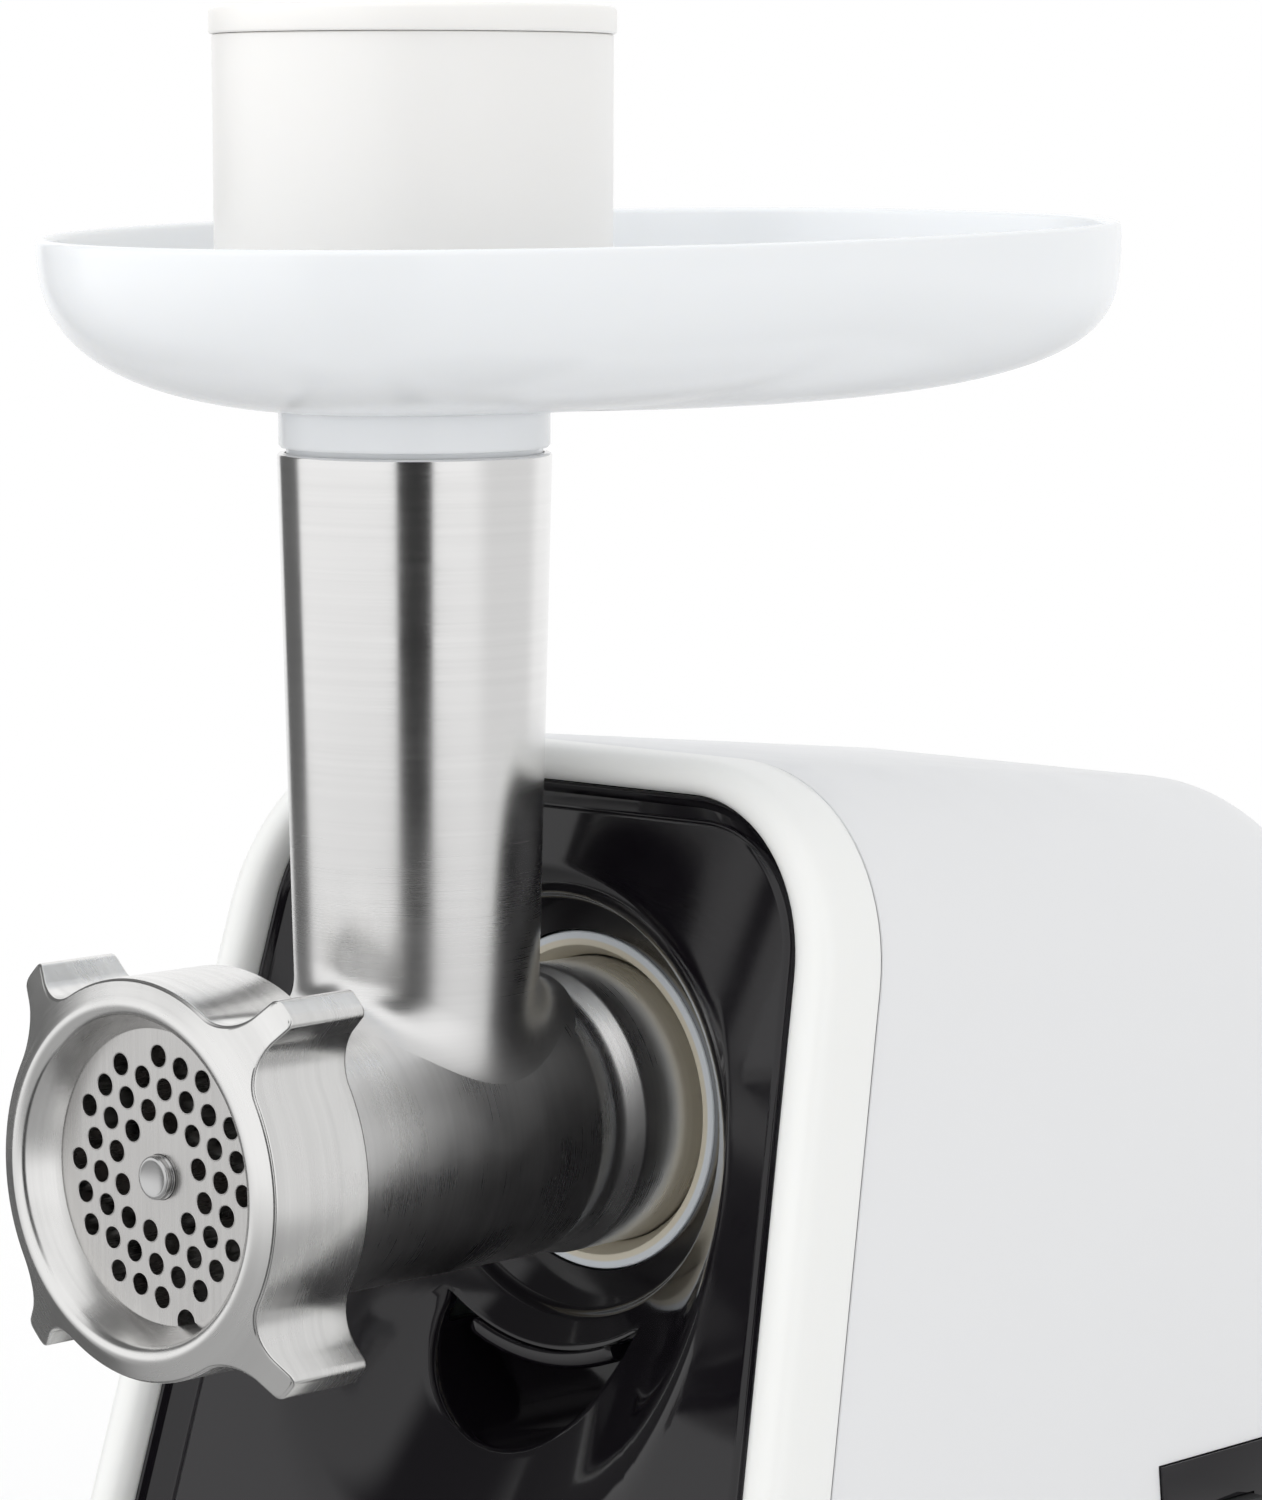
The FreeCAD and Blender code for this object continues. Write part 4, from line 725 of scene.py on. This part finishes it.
def repeated(name, points, build, sizes):
    """Copies of one shape on points, by a node tree with named size inputs."""
    tree = bpy.data.node_groups.new(name, "GeometryNodeTree")
    tree.interface.new_socket("Geometry", in_out="INPUT", socket_type="NodeSocketGeometry")
    sockets = {}
    for key in sizes:
        sockets[key] = tree.interface.new_socket(key, in_out="INPUT",
                                                 socket_type="NodeSocketFloat")
    tree.interface.new_socket("Geometry", in_out="OUTPUT", socket_type="NodeSocketGeometry")
    entry = tree.nodes.new("NodeGroupInput")
    leave = tree.nodes.new("NodeGroupOutput")
    spread = tree.nodes.new("GeometryNodeInstanceOnPoints")
    real = tree.nodes.new("GeometryNodeRealizeInstances")
    paint = tree.nodes.new("GeometryNodeSetMaterial")
    made, finish = build(tree, entry)
    paint.inputs["Material"].default_value = FINISHES[finish]
    tree.links.new(entry.outputs["Geometry"], spread.inputs["Points"])
    tree.links.new(made, spread.inputs["Instance"])
    tree.links.new(spread.outputs["Instances"], real.inputs["Geometry"])
    tree.links.new(real.outputs["Geometry"], paint.inputs["Geometry"])
    tree.links.new(paint.outputs["Geometry"], leave.inputs["Geometry"])
    mesh = bpy.data.meshes.new(name)
    mesh.from_pydata(points, [], [])
    obj = object_of(name, mesh)
    maker = obj.modifiers.new("maker", "NODES")
    maker.node_group = tree
    for key, value in sizes.items():
        maker[sockets[key].identifier] = value
    baked(obj)
    solid = bmesh.new()
    solid.from_mesh(obj.data)
    bmesh.ops.remove_doubles(solid, verts=solid.verts, dist=1e-7)
    bmesh.ops.recalc_face_normals(solid, faces=solid.faces)
    solid.to_mesh(obj.data)
    solid.free()
    return obj, finish


def swept_ring(finish, around):
    """A ring of round wire: a circle swept with a small circle, its axis along Y."""
    def build(tree, entry):
        path = tree.nodes.new("GeometryNodeCurvePrimitiveCircle")
        path.inputs["Resolution"].default_value = around
        tree.links.new(entry.outputs["Radius"], path.inputs["Radius"])
        wire = tree.nodes.new("GeometryNodeCurvePrimitiveCircle")
        wire.inputs["Resolution"].default_value = 8
        tree.links.new(entry.outputs["Wire"], wire.inputs["Radius"])
        sweep = tree.nodes.new("GeometryNodeCurveToMesh")
        tree.links.new(path.outputs["Curve"], sweep.inputs["Curve"])
        tree.links.new(wire.outputs["Curve"], sweep.inputs["Profile Curve"])
        face = tree.nodes.new("GeometryNodeTransform")
        face.inputs["Rotation"].default_value = (math.pi / 2, 0, 0)
        tree.links.new(sweep.outputs["Mesh"], face.inputs["Geometry"])
        return face.outputs["Geometry"], finish
    return build


HOLE_RIM, RIM_WIRE = 2.16, 0.14
rims, finish = repeated("hole_rims", [at(x, PLATE_FRONT + 0.06, h) for x, h in holes],
                        swept_ring("plate_steel", 32), {"Radius": HOLE_RIM * MM, "Wire": RIM_WIRE * MM})
settle(rims, finish, "cutting_plate")

# ---------------------------------------------------------------- housing outlines

SLOPE, LEAN = math.radians(6.2), math.radians(13.9)
START_Y, START_H = -90.0, 90 * math.tan(SLOPE)
SIDE_LEAN, HALF_WIDTH, TOP, CORNER, FACE_AHEAD = 0.088, 95.0, 70.5, 44.0, 27.1
BACK_Y, REAR_RADIUS, FOOT_H = 152.0, 24.0, FLOOR_H + 6


def leaning(depth):
    """The plane that lies depth behind the front face."""
    return math.cos(LEAN), -math.sin(LEAN), depth - FACE_AHEAD * math.cos(LEAN)


def upright(y):
    return 1.0, 0.0, y


def section(side, top, foot, plane, foot_corner=0.0, closed=True):
    """The housing's outline on a plane, drawn in by side and top, down to the foot's level."""
    ny, nh, offset = plane
    ca, sa = math.cos(SLOPE), math.sin(SLOPE)
    grow = ny * ca - nh * sa
    along_0 = (offset - START_Y * ny - START_H * nh) / grow
    along_1 = -(ny * sa + nh * ca) / grow
    low = (foot - START_H + along_0 * sa) / (ca - along_1 * sa)
    high = TOP - top

    def half(level):
        return HALF_WIDTH - side - SIDE_LEAN * (level + 114)

    radius = CORNER - side

    def run(a, b, count):
        return [(a[0] + (b[0] - a[0]) * k / count, a[1] + (b[1] - a[1]) * k / count)
                for k in range(1, count)]

    right = softened(((half(low) - 1, low, 0), (half(low), low, 0), (half(high), high, radius),
                      (0, high, 0)), 20, False)[1:-1]
    if foot_corner:
        corner = softened(((0, low, 0), (half(low), low, foot_corner), (half(high), high, 0)),
                          6, False)[1:-1]
    else:
        corner = [(half(low), low)]
    outline = []
    if closed:
        outline += [(0, low)] + run((0, low), corner[0], 14)
    outline += corner + run(corner[-1], right[1], 26) + right[1:]
    top_left = (-right[-1][0], right[-1][1])
    middle_run = run(right[-1], top_left, 27)
    left = [(-u, v) for u, v in outline[1 if closed else 0:]][::-1]
    outline = outline + middle_run + left
    points = []
    for x, level in outline:
        along = along_0 + along_1 * level
        points.append((x, START_Y + along * ca + level * sa,
                       START_H - along * sa + level * ca))
    return points


def placed(points):
    return [at(*point) for point in points]


# ---------------------------------------------------------------- bezel

FOOT_RISE, TOP_SHARE = 0.8, 0.73


def frame_loop(inset, depth, foot_corner):
    return section(inset, inset * TOP_SHARE, FOOT_H + inset * FOOT_RISE, leaning(depth),
                   foot_corner)


BEZEL_PATH = (
    (0, 11.7), (0, 9), (0, 6), (0, 3), (0.02, 0.8), (0.25, -0.7), (0.8, -1.9), (1.7, -2.9),
    (2.9, -3.6), (4.2, -3.95), (5.4, -4.0), (6.6, -3.85), (7.7, -3.4), (8.6, -2.7),
    (9.3, -1.7), (9.75, -0.5), (9.95, 0.8), (10, 2), (10, 11.7), (9.7, 12), (0.3, 12))
piece("bezel_frame", loft([placed(frame_loop(inset, depth, 4)) for inset, depth in BEZEL_PATH],
                          loop=True), "bezel_white", "housing", ["front_bezel"], 40)

# ---------------------------------------------------------------- front panel

NECK, MOUTH, LAND, PANEL_WALL = 34.0, 55.0, 4.6, 2.2
POCKET_RADIUS, POCKET_DROP, SLOT_RADIUS = 25.5, 40.0, 47.8
BORDER_PATH = (
    (10.3, 3.6), (10.3, 1.5), (10.5, 1.05), (10.9, 0.95), (11.3, 1.15), (11.6, 1.6),
    (13.0, 2.55), (14.5, 3.55), (16.2, 4.6), (16.6, 4.85), (17.0, 4.95), (17.4, 4.8),
    (17.8, LAND))
land_loop = frame_loop(17.8, LAND, 4)
land_angles = [math.atan2(h, x) for x, y, h in land_loop]
land_reach = [math.hypot(x, h) for x, y, h in land_loop]


def smooth_max(a, b, soft):
    h = max(soft - abs(a - b), 0) / soft
    return max(a, b) + h * h * soft / 4


def panel_depth(radius, turn):
    """How far back the panel's face is at a radius and turn about the grinding axis."""
    h = radius * math.sin(turn)
    land = -FACE_AHEAD + (LAND + h * math.sin(LEAN)) / math.cos(LEAN)
    if radius < 41:
        bowl = -(radius - NECK) * 0.70
    elif radius < 42:
        bowl = -4.9 - (radius - 41) * 2.5
    else:
        bowl = -7.4 - (radius - 42) * 12.6 / 13
    if radius > MOUTH:
        s, c = math.sin(turn), math.cos(turn)
        a = (c / 78) ** 2 + (s / 83) ** 2
        b = 2 * s * 27 / 83 ** 2
        reach = (-b + math.sqrt(b * b - 4 * a * ((27 / 83) ** 2 - 1))) / (2 * a)
        bowl = -20 - 40 * (radius - MOUTH) / max(reach - MOUTH, 4)
    return smooth_max(land, bowl, 5.0)


def pocket_reach(turn):
    """Where a line from the grinding axis leaves the finger pocket, or None."""
    s = -math.sin(turn)
    inside = (POCKET_DROP * s) ** 2 - POCKET_DROP ** 2 + POCKET_RADIUS ** 2
    if s <= 0 or inside <= 0:
        return None
    reach = POCKET_DROP * s + math.sqrt(inside)
    return reach if reach > SLOT_RADIUS + 0.05 else None


OUT_STEPS, IN_STEPS = 34, 22
columns, in_pocket = [], []
for turn, reach in zip(land_angles, land_reach):
    edge_at = pocket_reach(turn)
    in_pocket.append(edge_at is not None)
    stop = edge_at if edge_at else SLOT_RADIUS
    roll = 1.1 if edge_at else 0.0
    column = []
    for k in range(1, OUT_STEPS + 1):
        t = k / OUT_STEPS
        radius = reach + (stop + roll - reach) * t
        column.append((radius, panel_depth(radius, turn)))
    last = panel_depth(stop, turn)
    for share in (0.5, 0.85, 1.0):
        radius = stop + roll * (1 - share)
        drop = roll * (1 - math.sqrt(max(1 - share * share, 0)))
        column.append((radius, panel_depth(radius, turn) + drop))
    column.append((stop, last + roll * 2.2))
    column.append((SLOT_RADIUS, panel_depth(SLOT_RADIUS, turn) + roll * 2.2))
    for k in range(IN_STEPS + 1):
        radius = SLOT_RADIUS + (NECK - SLOT_RADIUS) * k / IN_STEPS
        lip_roll = 0.4 * roll if k == 0 else 0
        column.append((radius, panel_depth(radius, turn) + lip_roll))
    column += [(NECK, 1.2), (NECK, 3.0)]
    columns.append(column)
panel_rings = [placed(frame_loop(inset, depth, 4)) for inset, depth in BORDER_PATH]
border_rings = len(panel_rings)
for k in range(len(columns[0])):
    panel_rings.append([at(column[k][0] * math.cos(turn), column[k][1],
                           column[k][0] * math.sin(turn))
                        for column, turn in zip(columns, land_angles)])
gap_ring = border_rings + OUT_STEPS + 3


def over_pocket(i, j):
    return i == gap_ring and in_pocket[j] and in_pocket[(j + 1) % len(in_pocket)]


panel = object_of("panel_dish", mesh_of("panel_dish", *loft(panel_rings, skip=over_pocket)))
facing = sum(p.normal.y * p.area for p in panel.data.polygons)
if facing > 0:
    panel.data.flip_normals()
thick = panel.modifiers.new("thick", "SOLIDIFY")
thick.thickness = PANEL_WALL * MM
thick.offset = -1
baked(panel)
settle(panel, "panel_black", "housing", ["front_panel"], 50)

# ---------------------------------------------------------------- release lever

lever_rings = []
LEVER_IN, LEVER_OUT, LEVER_FRONT, LEVER_BACK, LEVER_HALF = 48.05, 51.5, -14, 3, 20
lever_path = softened(((LEVER_IN, LEVER_FRONT, 0.8), (LEVER_OUT, LEVER_FRONT, 1.3),
                       (LEVER_OUT, LEVER_BACK, 0.5), (LEVER_IN, LEVER_BACK, 0.5)), 5)
half_turn = math.degrees(math.asin(LEVER_HALF / LEVER_OUT))
middle_r, middle_y = 49.8, -5.5
for k in range(41):
    share = k / 40 * 2 - 1
    turn = math.radians(-90 + share * half_turn)
    close = max(abs(share) - 0.96, 0) / 0.04
    shrink = 0.8 * (1 - math.sqrt(max(1 - close * close, 0)))
    ring = []
    for r, y in lever_path:
        r2 = r + (middle_r - r) * shrink * 0.25
        y2 = y + (middle_y - y) * shrink * 0.06
        ring.append(at(r2 * math.cos(turn), y2, r2 * math.sin(turn)))
    lever_rings.append(ring)
first_end, last_end = (tuple(np.mean(np.array(lever_rings[k]), axis=0)) for k in (0, -1))
lever_rings = [[first_end]] + lever_rings + [[last_end]]
piece("lever_tab", loft(lever_rings), "panel_black", "release_lever", ["release_lever"], 40)

# ---------------------------------------------------------------- socket ring

piece("socket_ring", lathe((
    (30.8, 0, 0.35), (33.6, 0, 0.5), (33.6, 9, 0.3), (42, 9, 0.3), (42, 12, 0.3), (28.6, 12, 0.2),
    (28.6, 4, 0.8)), "Y", 192), "socket_nylon", "housing", ["seat_ring"])

# ---------------------------------------------------------------- housing shell

WALL, SHELL_FRONT = 2.6, 12.8
shell_rings = [placed(section(inset, inset, FOOT_H, leaning(depth), closed=False))
               for inset, depth in ((0.35, 12.3), (0.08, 12.45), (0, SHELL_FRONT))]
front_run = section(0, 0, FOOT_H, leaning(SHELL_FRONT), closed=False)
rear_run = section(0, 0, FOOT_H, upright(BACK_Y - REAR_RADIUS), closed=False)
for k in range(1, 13):
    t = k / 12
    shell_rings.append([at(*(a + (b - a) * t for a, b in zip(p, q)))
                        for p, q in zip(front_run, rear_run)])
for k in range(1, 13):
    a = math.pi / 2 * k / 12
    inset = REAR_RADIUS * (1 - math.cos(a))
    shell_rings.append(placed(section(inset, inset, FOOT_H, upright(
        BACK_Y - REAR_RADIUS + REAR_RADIUS * math.sin(a)), closed=False)))
last_section = section(REAR_RADIUS, REAR_RADIUS, FOOT_H, upright(BACK_Y), closed=False)
for k in range(1, 8):
    t = 1 - k / 7
    shell_rings.append([at(x * t, y, FOOT_H + (h - FOOT_H) * t) for x, y, h in last_section])


def open_edge(i, j):
    return j == len(last_section) - 1


shell_shape = loft(shell_rings, skip=open_edge)
shell = object_of("shell_body", mesh_of("shell_body", *shell_shape))
outwards = sum(p.normal.z * p.area for p in shell.data.polygons)
if outwards < 0:
    shell.data.flip_normals()
thick = shell.modifiers.new("thick", "SOLIDIFY")
thick.thickness = WALL * MM
thick.offset = -1
baked(shell)
SEAM, PAST_SIDE, PAST_BACK, INSIDE_SIDE, INSIDE_BACK = 0.0003, 0.12, 0.16, 0.05, 0.1
GLAND_HOLE = 9
low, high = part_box("control_panel")
cut_out(shell, brick((INSIDE_SIDE, low.y - SEAM, low.z - SEAM),
                     (PAST_SIDE, high.y + SEAM, high.z + SEAM)))
low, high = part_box("rear_grille")
cut_out(shell, brick((low.x - SEAM, INSIDE_BACK, low.z - SEAM),
                     (high.x + SEAM, PAST_BACK, high.z + SEAM)))
low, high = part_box("cord_gland")
gland = (low + high) / 2
gland_ring = [(gland.x + x * MM, gland.z + h * MM) for x, h in ring_points(GLAND_HOLE, 48)]
cut_out(shell, loft([[(gland.x, INSIDE_BACK, gland.z)],
                     [(x, INSIDE_BACK, z) for x, z in gland_ring],
                     [(x, PAST_BACK, z) for x, z in gland_ring],
                     [(gland.x, PAST_BACK, gland.z)]]))
settle(shell, "shell_white", "housing", ["body_shell"], 40)

# ---------------------------------------------------------------- eased edges


def eased(name, node, width, segments=3):
    """A copy of a CAD node's form with its sharp edges rounded, which stands for the node."""
    source = frame["nodes"][node]
    mesh = source.data.copy()
    form = bmesh.new()
    form.from_mesh(mesh)
    bmesh.ops.remove_doubles(form, verts=form.verts, dist=1e-6)
    bmesh.ops.dissolve_limit(form, angle_limit=math.radians(1.5), verts=form.verts,
                             edges=form.edges)
    form.to_mesh(mesh)
    form.free()
    obj = object_of(name, mesh)
    edge = obj.modifiers.new("edge", "BEVEL")
    edge.width = width * MM
    edge.segments = segments
    edge.limit_method = "ANGLE"
    edge.angle_limit = math.radians(35)
    baked(obj)
    return settle(obj, slot_of[node], source["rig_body"], [node], 40)


for node, width in (("control_panel", 0.35), ("power_rocker", 0.6), ("reverse_button", 0.7),
                    ("rear_grille", 0.35), ("cord_gland", 0.5), ("base_plate", 0.4),
                    ("rubber_feet", 0.8),
                    ("auger_drive_square", 0.4), ("gearbox_case", 0.4), ("gearbox_cover", 0.3)):
    eased("eased_" + node, node, width)
# The knife takes the near-black steel: painted shade, seen through the plate's holes.
eased("eased_knife", "knife", 0.3).data.materials[0] = knife_shade_metal

# ---------------------------------------------------------------- studio

scene = bpy.context.scene
scene.view_settings.view_transform = "Standard"
floor_mesh = bpy.data.meshes.new("floor")
floor_mesh.from_pydata([(-6, -6, -0.0002), (6, -6, -0.0002), (6, 6, -0.0002), (-6, 6, -0.0002)],
                       [], [(0, 1, 2, 3)])
floor = object_of("floor", floor_mesh)
ground = Nodes("floor_paper")
ground.finish((0.9, 0.9, 0.9), 0.8)
away = ground.add("ShaderNodeVectorMath", operation="LENGTH")
ground.link(ground.place, away.inputs[0])
glow = ground.add("ShaderNodeEmission")
fade = ground.add("ShaderNodeMixShader")
ground.link(ground.spread(away.outputs["Value"], 0, 1, 0.3, 0.8), fade.inputs["Fac"])
ground.link(ground.shader.outputs[0], fade.inputs[1])
ground.link(glow.outputs[0], fade.inputs[2])
ground.link(fade.outputs[0], ground.tree.nodes["Material Output"].inputs["Surface"])
floor_mesh.materials.append(ground.material)
floor.visible_glossy = False

world = bpy.data.worlds.new("studio")
scene.world = world
world.use_nodes = True
links, nodes = world.node_tree.links, world.node_tree.nodes
background = nodes["Background"]
background.inputs["Strength"].default_value = 1.0


def world_node(kind, **values):
    made = nodes.new(kind)
    for key, value in values.items():
        setattr(made, key, value)
    return made


def world_math(operation, first, second=None):
    made = world_node("ShaderNodeMath", operation=operation)
    for socket, value in zip(made.inputs, (first, second)):
        if value is None:
            continue
        if isinstance(value, (int, float)):
            socket.default_value = value
        else:
            links.new(value, socket)
    return made.outputs[0]


split = world_node("ShaderNodeSeparateXYZ")
links.new(world_node("ShaderNodeTexCoord").outputs["Generated"], split.inputs[0])
azimuth = world_math("ARCTAN2", split.outputs["X"], world_math(
    "MULTIPLY", split.outputs["Y"], -1.0))


def ramp(value, start, end):
    """0 before start and 1 past end, eased between them."""
    made = world_node("ShaderNodeMapRange", interpolation_type="SMOOTHSTEP")
    links.new(value, made.inputs["Value"])
    made.inputs["From Min"].default_value = start
    made.inputs["From Max"].default_value = end
    return made.outputs["Result"]


def band(middle_turn, width, soft):
    """1 inside a band of azimuths, in degrees to the right of straight in front."""
    away = world_math("ABSOLUTE", world_math("SUBTRACT", azimuth, math.radians(middle_turn)))
    return ramp(away, math.radians(width / 2 + soft), math.radians(width / 2))


# Dark cards that only reflections see: each is a patch of the sky and how dark it is.
MIRROR_DEPTH = 0.97
front_card = world_math("MULTIPLY", band(45.5, 28, 2), ramp(split.outputs["Z"], 0.8, 0.5))
upper_card = world_math("MULTIPLY", band(-64, 60, 12), ramp(split.outputs["Z"], 0.38, 0.55))
dark = front_card
for card, share in ((band(-89, 36, 3), 0.9), (ramp(split.outputs["Z"], -0.05, -0.45), 0.6),
                    (band(135, 40, 25), 0.25), (upper_card, 0.9)):
    dark = world_math("MAXIMUM", dark, world_math("MULTIPLY", card, share))
mirror = world_math("SUBTRACT", 1.0, world_math("MULTIPLY", dark, MIRROR_DEPTH))
ray = world_node("ShaderNodeLightPath")
level = world_node("ShaderNodeMix")
links.new(ray.outputs["Is Glossy Ray"], level.inputs["Factor"])
level.inputs["A"].default_value = 1.0
links.new(mirror, level.inputs["B"])
links.new(level.outputs["Result"], background.inputs["Strength"])
background.inputs["Color"].default_value = (1, 1, 1, 1)


KEY_PLACE, KEY_TARGET, KEY_SIZE, KEY_POWER = (-0.7, -1.3, 1.5), (0, -0.02, 0.2), 1.0, 9
key_light = bpy.data.lights.new("key", "AREA")
key_light.size = KEY_SIZE
key_light.energy = KEY_POWER
key_lamp = bpy.data.objects.new("key", key_light)
scene.collection.objects.link(key_lamp)
key_lamp.location = KEY_PLACE
aim = Vector(KEY_TARGET) - Vector(KEY_PLACE)
key_lamp.rotation_euler = aim.to_track_quat("-Z", "Y").to_euler()
key_lamp.visible_glossy = False

VIEW_PLACE, VIEW_DIP, VIEW_TURN, LENS = (0.74495, -0.78858, 0.30733), 6.26, 43.5, 132
camera_data = bpy.data.cameras.new("camera")
camera_data.sensor_width = 36
camera_data.lens = LENS
camera = bpy.data.objects.new("camera", camera_data)
scene.collection.objects.link(camera)
camera.location = VIEW_PLACE
camera.rotation_euler = (math.radians(90 - VIEW_DIP), 0, math.radians(VIEW_TURN))
scene.camera = camera
